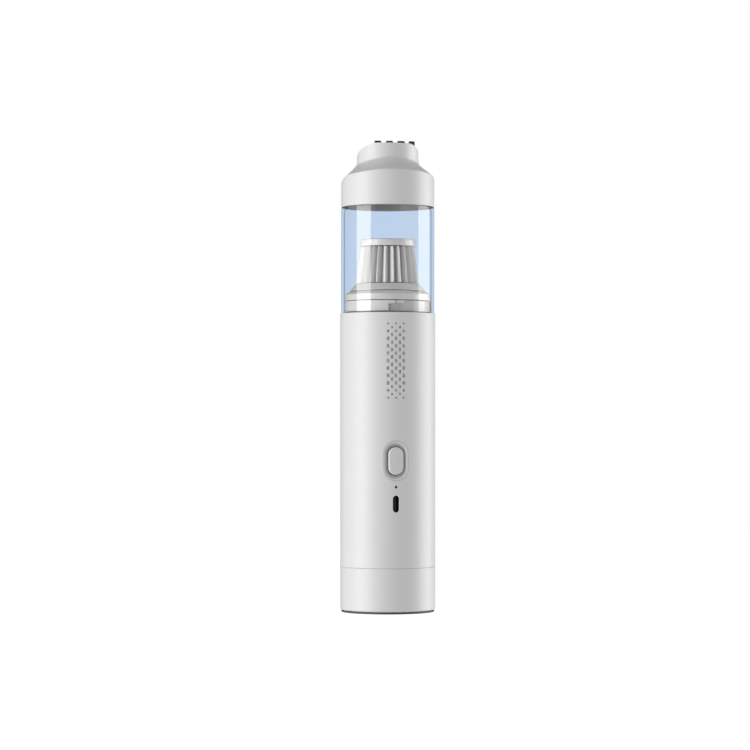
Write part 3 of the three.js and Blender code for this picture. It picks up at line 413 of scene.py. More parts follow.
def pierced_plate(border: Points, holes: Sequence[Points], low: float, high: float, edge: float,
                  spacing: float = 3) -> Skin:
    """A flat plate with holes and rounded edges.

    Every outline is carried down as six rings: drawn back by the edge at the top, then a quarter round, the
    wall, and the same at the bottom. The two flat sides are triangulated between the drawn-back outlines.

    Args:
        border: The outer outline, in millimetres.
        holes: The outlines of the holes.
        low: The underside's height.
        high: The top's height.
        edge: The radius of the edges.
        spacing: The step of the inner points.

    Returns:
        The plate's skin.
    """
    skin = Skin()
    points, faces = triangulated(grown(border, -edge), [grown(hole, edge) for hole in holes], spacing)
    for level in (low, high):
        skin.sheet(at_height(points, level), faces)
    part = edge * QUARTER
    rings = [(edge, high), (part, high - part), (0, high - edge),
             (0, low + edge), (part, low + part), (edge, low)]
    for loop, way in [(border, -1), *((hole, 1) for hole in holes)]:
        skin.grid(np.stack([at_height(grown(loop, way * inset), level) for inset, level in rings]))
    return skin


def with_spacing(outline: Points, spacing: float) -> Points:
    """The outline with more points on its long sides, none further apart than the spacing."""
    onward = np.roll(outline, -1, axis=0)
    counts = np.maximum(np.ceil(np.linalg.norm(onward - outline, axis=1) / spacing).astype(int), 1)
    side = np.repeat(np.arange(len(outline)), counts)
    share = (np.arange(counts.sum()) - np.repeat(np.cumsum(counts) - counts, counts)) / counts[side]
    return outline[side] + (onward - outline)[side] * share[:, None]


def circle(radius: float, count: int = 96, x: float = 0, y: float = 0) -> Points:
    """A round outline."""
    angle = np.arange(count) * 2 * np.pi / count
    return np.column_stack([x + radius * np.cos(angle), y + radius * np.sin(angle)])


def sector_outline(bore: float, radius: float, start: float, end: float, steps: int = 10) -> Points:
    """An outline between two radii and two angles, in degrees from the front."""
    degrees = np.linspace(start, end, steps + 1)
    return np.concatenate([on_arc(radius, degrees), on_arc(bore, degrees[::-1])])


# Shader tools

@dataclass(frozen=True)
class Signal:
    """One socket of a material, with the arithmetic that adds Math nodes."""

    recipe: Recipe
    socket: bpy.types.NodeSocket

    def __add__(self, other: Signal | float) -> Signal:
        """self + other."""
        return self.recipe.math("ADD", self, other)

    def __sub__(self, other: Signal | float) -> Signal:
        """self - other."""
        return self.recipe.math("SUBTRACT", self, other)

    def __mul__(self, other: Signal | float) -> Signal:
        """self * other."""
        return self.recipe.math("MULTIPLY", self, other)

    def __gt__(self, other: Signal | float) -> Signal:
        """1 where self is over other, else 0."""
        return self.recipe.math("GREATER_THAN", self, other)

    def __radd__(self, other: float) -> Signal:
        """other + self."""
        return self.recipe.math("ADD", self, other)

    def __rsub__(self, other: float) -> Signal:
        """other - self."""
        return self.recipe.math("SUBTRACT", other, self)


@dataclass
class Recipe:
    """The node tree of one material or of the world."""

    tree: bpy.types.NodeTree

    def node(self, kind: str, settings: dict[str, object] | None = None,
             inputs: dict[str | int, object] | None = None, output: str | int = 0) -> Signal:
        """Adds one node.

        Args:
            kind: The node's type.
            settings: Properties of the node.
            inputs: Values or signals by socket name or number.
            output: Which output is given back.

        Returns:
            That output as a signal.
        """
        made = self.tree.nodes.new(kind)
        for key, value in (settings or {}).items():
            setattr(made, key, value)
        for key, value in (inputs or {}).items():
            if isinstance(value, Signal):
                self.tree.links.new(value.socket, made.inputs[key])
            else:
                made.inputs[key].default_value = value
        return Signal(self, made.outputs[output])

    def math(self, operation: str, *values: Signal | float) -> Signal:
        """A Math node of that operation."""
        return self.node("ShaderNodeMath", {"operation": operation}, dict(enumerate(values)))

    def place(self, scale: Sequence[float] = (1, 1, 1)) -> Signal:
        """Object coordinates, stretched by three factors."""
        spot = self.node("ShaderNodeTexCoord", output="Object")
        return self.node("ShaderNodeMapping", {}, {"Vector": spot, "Scale": tuple(scale)})

    def axis(self, spot: Signal, name: str) -> Signal:
        """One coordinate of a spot."""
        return self.node("ShaderNodeSeparateXYZ", {}, {0: spot}, name)

    def radius(self, spot: Signal) -> Signal:
        """A spot's distance from the handle's axis."""
        flat = self.node("ShaderNodeVectorMath", {"operation": "MULTIPLY"}, {0: spot, 1: (1, 1, 0)})
        return self.node("ShaderNodeVectorMath", {"operation": "LENGTH"}, {0: flat}, "Value")

    def noise(self, per_mm: float, detail: float = 2, stretch: Sequence[float] = (1, 1, 1),
              roughness: float = 0.5) -> Signal:
        """Soft noise with about that many lumps in a millimetre."""
        return self.node("ShaderNodeTexNoise", {}, {
            "Vector": self.place(stretch), "Scale": per_mm / MM, "Detail": detail, "Roughness": roughness})

    def cells(self, per_mm: float, randomness: float = 1, **settings: str) -> Signal:
        """Distances in a pattern of scattered cells, about that many in a millimetre."""
        inputs = {"Vector": self.place(), "Scale": per_mm / MM, "Randomness": randomness}
        return self.node("ShaderNodeTexVoronoi", settings, inputs)

    def slope(self, value: Signal, low: float, high: float) -> Signal:
        """0 under a value, 1 over another, and a straight line between."""
        ramp = self.node("ShaderNodeValToRGB", {}, {"Fac": value})
        for stop, place in zip(ramp.socket.node.color_ramp.elements, (low, high)):
            stop.position = place
        return ramp

    def step(self, value: Signal, low: float, high: float) -> Signal:
        """0 under a value, 1 over another, and a smooth step between."""
        return self.node("ShaderNodeMapRange", {"interpolation_type": "SMOOTHSTEP"},
                         {"Value": value, "From Min": low, "From Max": high})

    def blend(self, factor: Signal, low: Signal | Colour, high: Signal | Colour) -> Signal:
        """A colour between two, by a factor."""
        ends = {socket: colour if isinstance(colour, Signal) else (*colour, 1)
                for socket, colour in ((6, low), (7, high))}
        return self.node("ShaderNodeMix", {"data_type": "RGBA"}, {0: factor, **ends}, 2)

    def bump(self, height: Signal, depth: float, strength: float = 1) -> Signal:
        """A normal from a height field, its full depth in millimetres."""
        inputs = {"Height": height, "Distance": depth * MM, "Strength": strength}
        return self.node("ShaderNodeBump", {}, inputs)


def fill(owner: bpy.types.Material | bpy.types.World, output: str,
         surface: Callable[[Recipe], Signal]) -> None:
    """Gives a material or the world a node tree that ends in one surface."""
    owner.use_nodes = True
    tree = owner.node_tree
    tree.nodes.clear()
    end = tree.nodes.new(output)
    tree.links.new(surface(Recipe(tree)).socket, end.inputs["Surface"])


def shaded(colour: Sequence[float], share: float) -> tuple[float, ...]:
    """A colour made lighter or darker by a share."""
    return tuple(min(1.0, channel * share) for channel in colour)


def grey(level: float) -> tuple[float, float, float]:
    """A neutral colour, as light in linear terms."""
    return (level, level, level)


# Finishes

class Slot(Enum):
    """The record's material slots."""

    CASING = "casing"
    TRIM = "trim"
    WHITE = "white_plastic"
    CUP = "clear_cup"
    PAPER = "filter_paper"
    RUBBER = "dark_rubber"
    BLACK = "black_plastic"
    STEEL = "steel"
    BRASS = "brass"
    BOARD = "board_green"
    WRAP = "cell_wrap"
    FOAM = "foam"
    RED_WIRE = "red_wire"
    BLACK_WIRE = "black_wire"
    LENS = "clear_lens"


@dataclass(frozen=True)
class Finish:
    """A moulded surface: a colour that drifts a little, fine specks and a fine grain."""

    slot: Slot
    colour: Colour
    rough: float
    label: str = "moulded"
    drift: float = 0.03
    drift_per_mm: float = 0.08
    grain_per_mm: float = 6
    grain_depth: float = 0.012
    grain_share: float = 0.4
    rough_drift: float = 0.06
    metallic: float = 0
    stretch: tuple[float, float, float] = (1, 1, 1)
    specular: float = 0.5
    coat: float = 0

    def material(self) -> bpy.types.Material:
        """The finish's material, made once."""
        name = f"{self.slot.value}_{self.label}"
        if name not in bpy.data.materials:
            fill(bpy.data.materials.new(name), "ShaderNodeOutputMaterial", self.surface)
        return bpy.data.materials[name]

    def surface(self, recipe: Recipe) -> Signal:
        """The shader: colour, roughness and relief each follow a pattern of their own."""
        cloud = recipe.noise(self.drift_per_mm, 3, self.stretch)
        grain = self.relief(recipe)
        tone = cloud * (1 - self.grain_share) + grain * self.grain_share
        inputs = {
            "Base Color": self.tint(recipe, tone),
            "Roughness": self.rough + (cloud - 0.5) * (2 * self.rough_drift),
            "Metallic": self.metallic,
            "Specular IOR Level": self.specular,
            "Coat Weight": self.coat,
            "Normal": recipe.bump(grain, self.grain_depth),
        }
        return recipe.node("ShaderNodeBsdfPrincipled", {}, inputs)

    def tint(self, recipe: Recipe, tone: Signal) -> Signal:
        """The colour, a little darker and lighter by the tone."""
        return recipe.blend(tone, shaded(self.colour, 1 - self.drift), shaded(self.colour, 1 + self.drift))

    def relief(self, recipe: Recipe) -> Signal:
        """The height pattern of the surface."""
        return recipe.noise(self.grain_per_mm, 2, self.stretch, 0.6)

    def dress(self, piece: bpy.types.Object) -> bpy.types.Object:
        """Gives a piece this finish and the record's slot."""
        piece.data.materials.clear()
        piece.data.materials.append(self.material())
        return piece


@dataclass(frozen=True)
class Stippled(Finish):
    """Rubber: round pimples in a soft matt skin, with a faint bloom."""

    pimples_per_mm: float = 2.2

    def relief(self, recipe: Recipe) -> Signal:
        """Pimples from the distance to scattered points, with fine noise over them."""
        pimples = recipe.cells(self.pimples_per_mm, feature="SMOOTH_F1")
        return pimples * 0.6 + recipe.noise(self.grain_per_mm, 2) * 0.4


@dataclass(frozen=True)
class Fibrous(Finish):
    """Filter paper: fibres that lie two ways, pale specks and shade between the folds."""

    def relief(self, recipe: Recipe) -> Signal:
        """Two noises drawn out along and across, and a cloud of pulp."""
        along = recipe.noise(2.6, 3, (1, 1, 0.16), 0.65)
        across = recipe.noise(2.2, 3, (0.22, 0.22, 1), 0.65)
        return along * 0.4 + across * 0.35 + recipe.noise(0.9, 4) * 0.25


@dataclass(frozen=True)
class PaintedHollowShade(Finish):
    """A surface whose colour is painted darker where it lies deeper under its outer radius: painted shade in
    hollows.
    """

    ridge: float = 22.7
    ridge_height: float = 0
    lean: float = 0
    depth: float = 1.05
    hollow_shade: float = 0.8
    top: float = 1000

    def tint(self, recipe: Recipe, tone: Signal) -> Signal:
        """Painted shade starts at a tenth of the depth, and ends over the top.

        The depth at a spot is ridge - lean * (z - ridge height) - radius.
        """
        spot = recipe.place()
        height = recipe.axis(spot, "Z")
        edge = (self.ridge + self.lean * self.ridge_height) * MM - height * self.lean
        share = recipe.step(edge - recipe.radius(spot), 0.1 * self.depth * MM, self.depth * MM)
        factor = share * (1 - (height > self.top * MM))
        return recipe.blend(factor, Finish.tint(self, recipe, tone), shaded(self.colour, self.hollow_shade))


@dataclass(frozen=True)
class Pleated(PaintedHollowShade, Fibrous):
    """Pleated paper, with painted shade towards the bottom of its folds."""


@dataclass(frozen=True)
class Cellular(Finish):
    """Open-cell foam: pores with painted shade between pale struts."""

    cells_per_mm: float = 1.5

    def relief(self, recipe: Recipe) -> Signal:
        """Height falls away from the struts: one minus the distance to the nearest cell's border."""
        return 1 - recipe.cells(self.cells_per_mm, feature="DISTANCE_TO_EDGE") * 2.4

    def tint(self, recipe: Recipe, tone: Signal) -> Signal:
        """Painted shade makes pores darker than struts."""
        return recipe.blend(self.relief(recipe), shaded(self.colour, 0.72), shaded(self.colour, 1.08))


@dataclass(frozen=True)
class Drawn(Finish):
    """Drawn or turned metal: long fine scratches and slow stains."""

    metallic: float = 1

    def tint(self, recipe: Recipe, tone: Signal) -> Signal:
        """Stains darken the metal slightly."""
        stain = recipe.noise(0.25, 4, (1, 1, 1), 0.7)
        return recipe.blend(stain * 0.7 + tone * 0.3, shaded(self.colour, 0.8), shaded(self.colour, 1.06))


@dataclass(frozen=True)
class Printed(Finish):
    """A circuit board: lacquer over copper lines, with tinned pads."""

    line: Colour = (0.05, 0.20, 0.09)
    pad: Colour = (0.55, 0.56, 0.57)

    def tint(self, recipe: Recipe, tone: Signal) -> Signal:
        """Lines follow the borders of square cells, and pads sit where scattered points are near."""
        lines = (recipe.cells(0.32, 0.75, distance="CHEBYCHEV", feature="F1") > 0.52) * 0.8
        pads = 1 - (recipe.cells(0.24, 0.9) > 0.13)
        return recipe.blend(pads, recipe.blend(lines, Finish.tint(self, recipe, tone), self.line), self.pad)


@dataclass(frozen=True)
class Ribbed(Finish):
    """Moulded plastic with a row of gilt contacts across it, one each half millimetre of height."""

    gilt: Colour = (0.06, 0.075, 0.11)
    pitch: float = 0.5

    def tint(self, recipe: Recipe, tone: Signal) -> Signal:
        """A contact lies where the height's share of the pitch is over a half."""
        share = recipe.math("FRACT", recipe.axis(recipe.place(), "Z") * (1 / (self.pitch * MM)))
        return recipe.blend(share > 0.5, Finish.tint(self, recipe, tone), self.gilt)


@dataclass(frozen=True)
class ClearWall(Finish):
    """The cup's clear plastic: it lets light straight through, and its outside mirrors more of it at a slant.

    Seen edge on, the bore takes a painted darker colour for the dark edges that refraction gives a thick
    clear tube.
    """

    clear: Colour = (0.975, 0.975, 0.977)
    rim: Colour = (0.66, 0.68, 0.68)
    bore: float = 23.6
    rim_slant: tuple[float, float] = (0.77, 0.85)
    mirror: float = 0.09
    edge_mirror: float = 0.30
    gloss_tint: Colour = (1.0, 0.965, 0.92)
    outside_index: float = 0.3
    near_fresnel: tuple[float, float] = (0.36, 1.0)
    polish: float = 0.035

    def surface(self, recipe: Recipe) -> Signal:
        """Mix of two see-through colours by the view's slant on the bore, under a gloss.

        The gloss's share is mirror + edge mirror * slant^5, with the slant 0 face on and 1 edge on. A Fresnel
        term of an index under one is full on the outside's near face and small on its far face, which so
        mirrors next to nothing through the cup.
        """
        facing = recipe.node("ShaderNodeLayerWeight", {}, {"Blend": 0.5}, "Facing")
        outside = recipe.radius(recipe.node("ShaderNodeTexCoord", output="Object")) > self.bore * MM
        rim = recipe.slope(facing, *self.rim_slant) * (1 - outside)
        clear, dark = (recipe.node("ShaderNodeBsdfTransparent", {}, {"Color": (*tint, 1)})
                       for tint in (self.clear, self.rim))
        through = recipe.node("ShaderNodeMixShader", {}, {0: rim, 1: clear, 2: dark})
        gloss = recipe.node("ShaderNodeBsdfPrincipled", {}, {
            "Base Color": (*self.gloss_tint, 1),
            "Metallic": 1.0,
            "Roughness": self.rough + recipe.noise(0.4, 2) * self.polish,
            "Normal": recipe.bump(recipe.noise(0.05, 1, (1, 1, 0.5)), 0.02, 0.4),
        })
        fresnel = recipe.node("ShaderNodeFresnel", {}, {"IOR": self.outside_index})
        near_face = recipe.slope(fresnel, *self.near_fresnel)
        share = (self.mirror + recipe.math("POWER", facing, 5.0) * self.edge_mirror) * near_face * outside
        return recipe.node("ShaderNodeMixShader", {}, {0: share, 1: through, 2: gloss})


SHELL = {"drift": 0.02, "grain_per_mm": 5, "grain_depth": 0.006}
SATIN = {"drift": 0.02, "grain_per_mm": 6, "grain_depth": 0.004}
GLOSSY = {"drift": 0.015, "grain_per_mm": 2, "grain_depth": 0.006, "specular": 0.8}
FLAT_WIRE = {"drift": 0.08, "grain_depth": 0.01}

CASING = Finish(Slot.CASING, grey(0.62), 0.36, **SHELL)
# Painted shade on the cap's inside, below the top of its skirt.
CAP = PaintedHollowShade(Slot.CASING, grey(0.62), 0.36, "cap", ridge=24.5, depth=0.35, hollow_shade=0.50, top=224, **SHELL)
TRIM = Finish(Slot.TRIM, grey(0.60), 0.33, **SATIN)
# Painted shade in the bezel's dish round the key.
BEZEL = PaintedHollowShade(Slot.TRIM, grey(0.62), 0.30, "bezel", ridge=24.8, depth=1.2, hollow_shade=0.62, **SATIN)
WHITE = Finish(Slot.WHITE, grey(0.62), 0.20, **GLOSSY)
# Painted shade in the collar's groove and recesses.
COLLAR = PaintedHollowShade(Slot.WHITE, grey(0.62), 0.20, "collar", hollow_shade=0.74, **GLOSSY)
NATURAL = Finish(Slot.WHITE, (0.70, 0.69, 0.66), 0.34, "natural", grain_depth=0.008)
CLEAR = ClearWall(Slot.CUP, (0.8, 0.9, 1.0), 0.02, "clear")
# Painted shade towards the bottom of the paper's folds.
PAPER = Pleated(Slot.PAPER, grey(0.70), 0.92, "pleats", drift=0.07, grain_depth=0.05, specular=0.2,
                ridge=16.5, ridge_height=172.3, lean=0.1283, depth=2.7, hollow_shade=0.68)
DARK_RUBBER = Stippled(Slot.RUBBER, (0.006, 0.008, 0.013), 0.65, "lip", grain_depth=0.02, drift=0.12,
                       specular=0.15)
# The foot ring's dark slate colour is partly the rubber's own and partly painted contact shadow under the
# foot.
FOOT_RUBBER_AND_SHADOW = Stippled(Slot.RUBBER, (0.055, 0.066, 0.082), 0.62, "slate", grain_depth=0.03, drift=0.12)
SEAL_RUBBER = Stippled(Slot.RUBBER, (0.03, 0.032, 0.035), 0.48, "seal", drift=0.1)
BLACK = Finish(Slot.BLACK, grey(0.022), 0.42, drift=0.1, grain_per_mm=3, grain_depth=0.02)
FERRITE = Finish(Slot.BLACK, (0.035, 0.033, 0.034), 0.7, "ferrite", drift=0.25, grain_per_mm=3,
                 grain_depth=0.05)
CONTACTS = Ribbed(Slot.BLACK, (0.024, 0.03, 0.048), 0.35, "contacts", drift=0.1, grain_depth=0.01)
STEEL = Drawn(Slot.STEEL, (0.58, 0.58, 0.57), 0.32, "turned", stretch=(1, 1, 8), grain_depth=0.01)
BLUED = Drawn(Slot.STEEL, (0.012, 0.014, 0.02), 0.4, "blued", stretch=(6, 1, 1), grain_depth=0.008,
              metallic=0.4)
NICKEL = Drawn(Slot.STEEL, (0.66, 0.63, 0.58), 0.26, "nickel", stretch=(6, 1, 1), grain_depth=0.008)
LAMINATED = Drawn(Slot.STEEL, (0.36, 0.35, 0.34), 0.45, "laminated", stretch=(0.2, 0.2, 12), grain_depth=0.06)
BRASS = Drawn(Slot.BRASS, (0.72, 0.50, 0.22), 0.3, "turned", stretch=(1, 1, 6), grain_depth=0.01)
BOARD = Printed(Slot.BOARD, (0.015, 0.11, 0.045), 0.3, "lacquered", drift=0.08, grain_depth=0.02)
WRAP = Finish(Slot.WRAP, (0.05, 0.22, 0.34), 0.28, "film", drift=0.05, stretch=(1, 1, 0.1), grain_depth=0.02,
              coat=0.4)
FOAM = Cellular(Slot.FOAM, grey(0.80), 0.95, "open_cell", grain_depth=0.25, specular=0.1)
RED_WIRE = Finish(Slot.RED_WIRE, (0.50, 0.02, 0.015), 0.4, "silicone", **FLAT_WIRE)
BLACK_WIRE = Finish(Slot.BLACK_WIRE, grey(0.02), 0.4, "silicone", **FLAT_WIRE)
SMOKED = Finish(Slot.LENS, (0.002, 0.002, 0.003), 0.45, "smoked", drift=0.2, grain_depth=0.004, specular=0.1)
CHIP = Finish(Slot.LENS, (0.80, 0.72, 0.35), 0.3, "phosphor", drift=0.1, grain_depth=0.02)


# Pieces

class Assembly:
    """A sub-assembly: makes its pieces, dresses them and hangs each on the body that its CAD node has."""

    @staticmethod
    def body_of(node: str) -> str:
        """The body that carries a CAD node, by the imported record."""
        bodies = frame["record"]["behaviour"]["bodies"]
        return next(body for body, nodes in bodies.items() if node in nodes)

    def put(self, skin: Skin, node: str, finish: Finish, sharp: float = 38,
            moved: Move | None = None) -> bpy.types.Object:
        """Makes a piece that stands for a CAD node.

        Args:
            skin: Its surfaces.
            node: The CAD node that it replaces.
            finish: Its finish.
            sharp: Edges over this many degrees stay sharp.
            moved: Maps its points to their place.

        Returns:
            The piece.
        """
        piece = skin.piece(f"{node}_form", sharp, moved)
        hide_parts(node)
        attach(piece, self.body_of(node))
        return finish.dress(piece)

    def stand(self, skin: Skin, node: str, finish: Finish) -> None:
        """Makes a piece that was built from height zero up, on the underside of its CAD node."""
        self.put(skin, node, finish, moved=placed(z=heights(node)[0]))

    def screw(self, node: str, length: float, moved: Move) -> None:
        """Makes a steel screw, its shank that long."""
        self.put(Screw().skin(length), node, STEEL, sharp=30, moved=moved)

    def keep(self, finish: Finish, *nodes: str) -> None:
        """Dresses CAD nodes whose shape stays."""
        for node in nodes:
            finish.dress(frame["nodes"][node])
            log.info("%s: its own mesh, in %s", node, finish.material().name)


def stations(low: float, high: float, spacing: float, breaks: Sequence[float] = (),
             soft: float = 0.15) -> Points:
    """Places along an axis: even ones, and five close ones across each break."""
    even = np.linspace(low, high, max(2, round((high - low) / spacing) + 1))
    close = (np.array(breaks, float)[:, None] + soft * np.linspace(-0.5, 0.5, 5)).ravel()
    return np.unique(np.round(np.concatenate([even, close[(close > low) & (close < high)]]), 5))


def eased(share: Points) -> Points:
    """A share between 0 and 1 as a cubic ramp, 3 t^2 - 2 t^3."""
    share = np.clip(share, 0, 1)
    return share**2 * (3 - 2 * share)


def band(value: Points, low: float, high: float, soft: float) -> Points:
    """1 between two limits and 0 outside, with a ramp as wide as soft at each."""
    return eased((value - low) / soft + 0.5) * eased((high - value) / soft + 0.5)


def bayonet_columns(angles: Sequence[float], soft: float) -> Points:
    """Angles round the handle, with close ones across each of the angles in both halves of the bayonet."""
    return stations(-20, 340, 2.5, [half + angle for half in HALVES for angle in angles], soft)[:-1]


def bayonet_band(angle: Points, start: float, end: float, soft: float) -> Points:
    """1 between two angles of each half of the bayonet, 0 outside."""
    return sum(band(angle, half + start, half + end, soft) for half in HALVES)


def pill_ring(width: float, length: float, out: Points | float, height: float, count: int = 96) -> Points:
    """A pill-shaped ring that faces the front: x across, out towards the front, height and up along Z."""
    flat = pill(width, length, count)
    return np.column_stack([flat[:, 0], np.broadcast_to(-np.asarray(out, float), count), height + flat[:, 1]])


def pill_rings(size: Sequence[float], height: float, rows: Sequence[tuple[float, float]],
               count: int = 96) -> list[Points]:
    """Pill-shaped rings, each given by how much larger it is than the size and by how far out it lies."""
    return [pill_ring(size[0] + grow, size[1] + grow, out, height, count) for grow, out in rows]


def on_tube(size: Sequence[float], inset: float, sunk: float, radius: float, height: float) -> Points:
    """A pill-shaped ring drawn in by an inset on the handle's tube: out = sqrt(radius^2 - x^2) - sunk."""
    flat = pill(size[0] - 2 * inset, size[1] - 2 * inset, 96)
    out = np.sqrt(radius**2 - flat[:, 0] ** 2) - sunk
    return pill_rings(size, height, [(-2 * inset, out)])[0]


def torus(node: str, radius: float, half_width: float, half_height: float) -> Skin:
    """A ring seal at a node's height: an ellipse of the two half sizes turned round Z."""
    angle = np.radians(evenly(24))
    return Skin().lathe(np.column_stack([radius + half_width * np.cos(angle),
                                         middle(node)[2] + half_height * np.sin(angle)]))


def pierced_floor(skin: Skin, radius: float, sides: int, high: float, spots: Points,
                  rows: Sequence[tuple[float, float]]) -> Skin:
    """Closes a turned shell across its middle by a floor with stepped round holes.

    Args:
        skin: The shell's skin, whose two free edges have that radius and lie at zero and at the floor's top.
        radius: The radius of the free edges.
        sides: How many points they have.
        high: The floor's top.
        spots: The holes' places, (n, 2).
        rows: A hole's rows of radius and height from the underside up.

    Returns:
        The skin.
    """
    hole = lambda spot, size: circle(size, 32) + spot
    for level, (size, _) in ((0, rows[0]), (high, rows[-1])):
        points, faces = triangulated(on_arc(radius, evenly(sides)), [hole(spot, size) for spot in spots], 3)
        skin.sheet(at_height(points, level), faces)
    for spot in spots:
        skin.grid(np.stack([at_height(hole(spot, size), level) for size, level in rows]))
    return skin


@dataclass
class Screw:
    """A small pan-head screw with a cross recess and a rolled thread. Its head's face lies at height zero."""

    head_radius: float = 2.2
    head_height: float = 1.1
    shank: float = 1.0
    pitch: float = 0.7
    thread: float = 0.09
    recess: float = 0.6
    slot: float = 0.26
    face_rows: int = 12
    sides: int = 48

    def skin(self, length: float) -> Skin:
        """The screw's surface.

        Rows run from the head's centre over its rounded edge, under it and down the shank. The recess sinks
        the face by its depth where |x| or |y| is under the slot's half width, and fades out towards the edge.
        The thread swells the shank by thread * |saw(height / pitch - angle / a full turn)|.

        Args:
            length: The shank's length under the head.

        Returns:
            The skin, head down.
        """
        head, seat = self.head_radius, self.head_height
        end = seat + length
        edge = np.array([[head - 0.2, 0.05], [head - 0.04, 0.22], [head, 0.45], [head, seat - 0.05],
                         [head - 0.08, seat], [self.shank + 0.12, seat]])
        shank = np.linspace(seat + 0.12, end - 0.7, round(length * 8))
        rows = np.concatenate([
            np.column_stack([np.linspace(0, head - 0.45, self.face_rows), np.zeros(self.face_rows)]),
            edge,
            np.column_stack([np.full(len(shank), self.shank - self.thread), shank]),
            [[self.shank * 0.55, end - 0.2], [0, end]],
        ])
        radius, level = rows[:, :1], rows[:, 1:]
        x, y, z = np.moveaxis(turn_points(radius, evenly(self.sides)[None], level), -1, 0)
        slots = np.maximum(*(band(side, -self.slot, self.slot, 0.12) for side in (x, y)))
        cross = slots * band(radius, -1, 1.25, 0.3) * (np.arange(len(rows))[:, None] < self.face_rows)
        on_shank = (level > seat + 0.1) & (level < end - 0.6)
        turn = (level / self.pitch - evenly(self.sides)[None] / 360) % 1
        swell = 2 * self.thread * (1 - 2 * np.abs(turn - 0.5)) * on_shank
        return Skin().grid(turn_points(radius + swell, evenly(self.sides)[None], z + self.recess * cross))


@dataclass
class TailEnd(Assembly):
    """The foot ring, the tail cap and its three screws."""

    sides: int = 128
    radius: float = 25
    floor_radius: float = 20.4
    floor: float = 2.4
    height: float = 22.52
    screw_circle: float = 15
    screw_angles: tuple[float, ...] = (180, 60, -60)
    screw_length: float = 8

    def build(self) -> None:
        """Makes every piece."""
        self.foot()
        spots = on_arc(self.screw_circle, np.array(self.screw_angles))
        self.cap(spots)
        for number, (x, y) in enumerate(spots, 1):
            node = f"tail_screw_{number}"
            self.screw(node, self.screw_length, placed(x, y, heights(node)[0]))

    def foot(self) -> None:
        """The foot ring: a flat ring with three fine grooves underneath and a tongue that sits in the cap."""
        grooves = [[middle_radius + aside, z, 0.03] for middle_radius in (21.4, 22.4, 23.4)
                   for aside, z in ((-0.22, 0), (-0.1, 0.22), (0.1, 0.22), (0.22, 0))]
        profile = [[20.4, 0, 0.15], *grooves, [24.4, 0, 0.25], [24.4, 0.8, 0.12], [23.2, 0.8, 0],
                   [23.2, 2.0, 0.15], [21.8, 2.0, 0.15], [21.8, 0.8, 0], [20.4, 0.8, 0.15]]
        # The foot ring's dark finish is partly painted contact shadow under the foot.
        self.put(turned(profile, sides=self.sides), "foot_ring", FOOT_RUBBER_AND_SHADOW, sharp=30)

    def cap(self, spots: Points) -> None:
        """The tail cap: a cup with a grooved, screwed floor and the spigot that enters the handle."""
        edge, radius, floor, top = self.floor_radius, self.radius, self.floor, self.height
        profile = [[edge, 0], [21.5, 0, 0.1], [21.5, 1.2, 0.1], [23.5, 1.2, 0.1], [23.5, 0, 0.1],
                   [24.5, 0, 0.2], [radius, 0.5, 0.3], [radius, top, 0.1], [22.7, top, 0], [22.7, 26.4, 0.4],
                   [21.2, 26.4, 0.3], [21.2, 20.4, 0.5], [23, 18.4, 0.5], [23, floor, 0.8], [edge, floor]]
        bore = [(2.62, 0), (2.5, 0.12), (2.5, 1.4), (1.3, 1.4), (1.3, floor)]
        skin = turned(profile, 0, 4, self.sides, closed=False)
        pierced_floor(skin, edge, self.sides, floor, spots, bore)
        self.stand(skin, "tail_cap", CASING)


@dataclass
class Opening:
    """A hole through the handle's tube, as rings from the outside in.

    Each ring is a flat outline, x across and z up, with the radius at which it lies. It meets the tube at the
    angle turn + arcsin(x / radius).
    """

    rings: list[tuple[Points, float]]
    turn: float = 0
    height: float = 0

    def angles(self, index: int) -> Points:
        """The angles of one ring's points, in degrees."""
        outline, radius = self.rings[index]
        return self.turn + np.degrees(np.arcsin(outline[:, 0] / radius))

    def unrolled(self, index: int, radius: float) -> Points:
        """One ring as an outline on the tube rolled flat at a radius: arc length and height."""
        outline = self.rings[index][0]
        return np.column_stack([np.radians(self.angles(index)) * radius, self.height + outline[:, 1]])

    def wall(self) -> Points:
        """All rings as points."""
        return np.stack([turn_points(radius, self.angles(i), self.height + outline[:, 1])
                         for i, (outline, radius) in enumerate(self.rings)])

    @classmethod
    def straight(cls, outline: Points, outer: float, inner: float, edge: float, turn: float,
                 height: float) -> Opening:
        """A straight hole with a rounded outer edge, and a ring beside it that keeps the tube's shading."""
        part = edge * QUARTER
        rings = [(2 * edge, outer), (edge, outer), (part, outer - part), (0, outer - edge), (0, inner)]
        return cls([(grown(outline, out), radius) for out, radius in rings], turn, height)


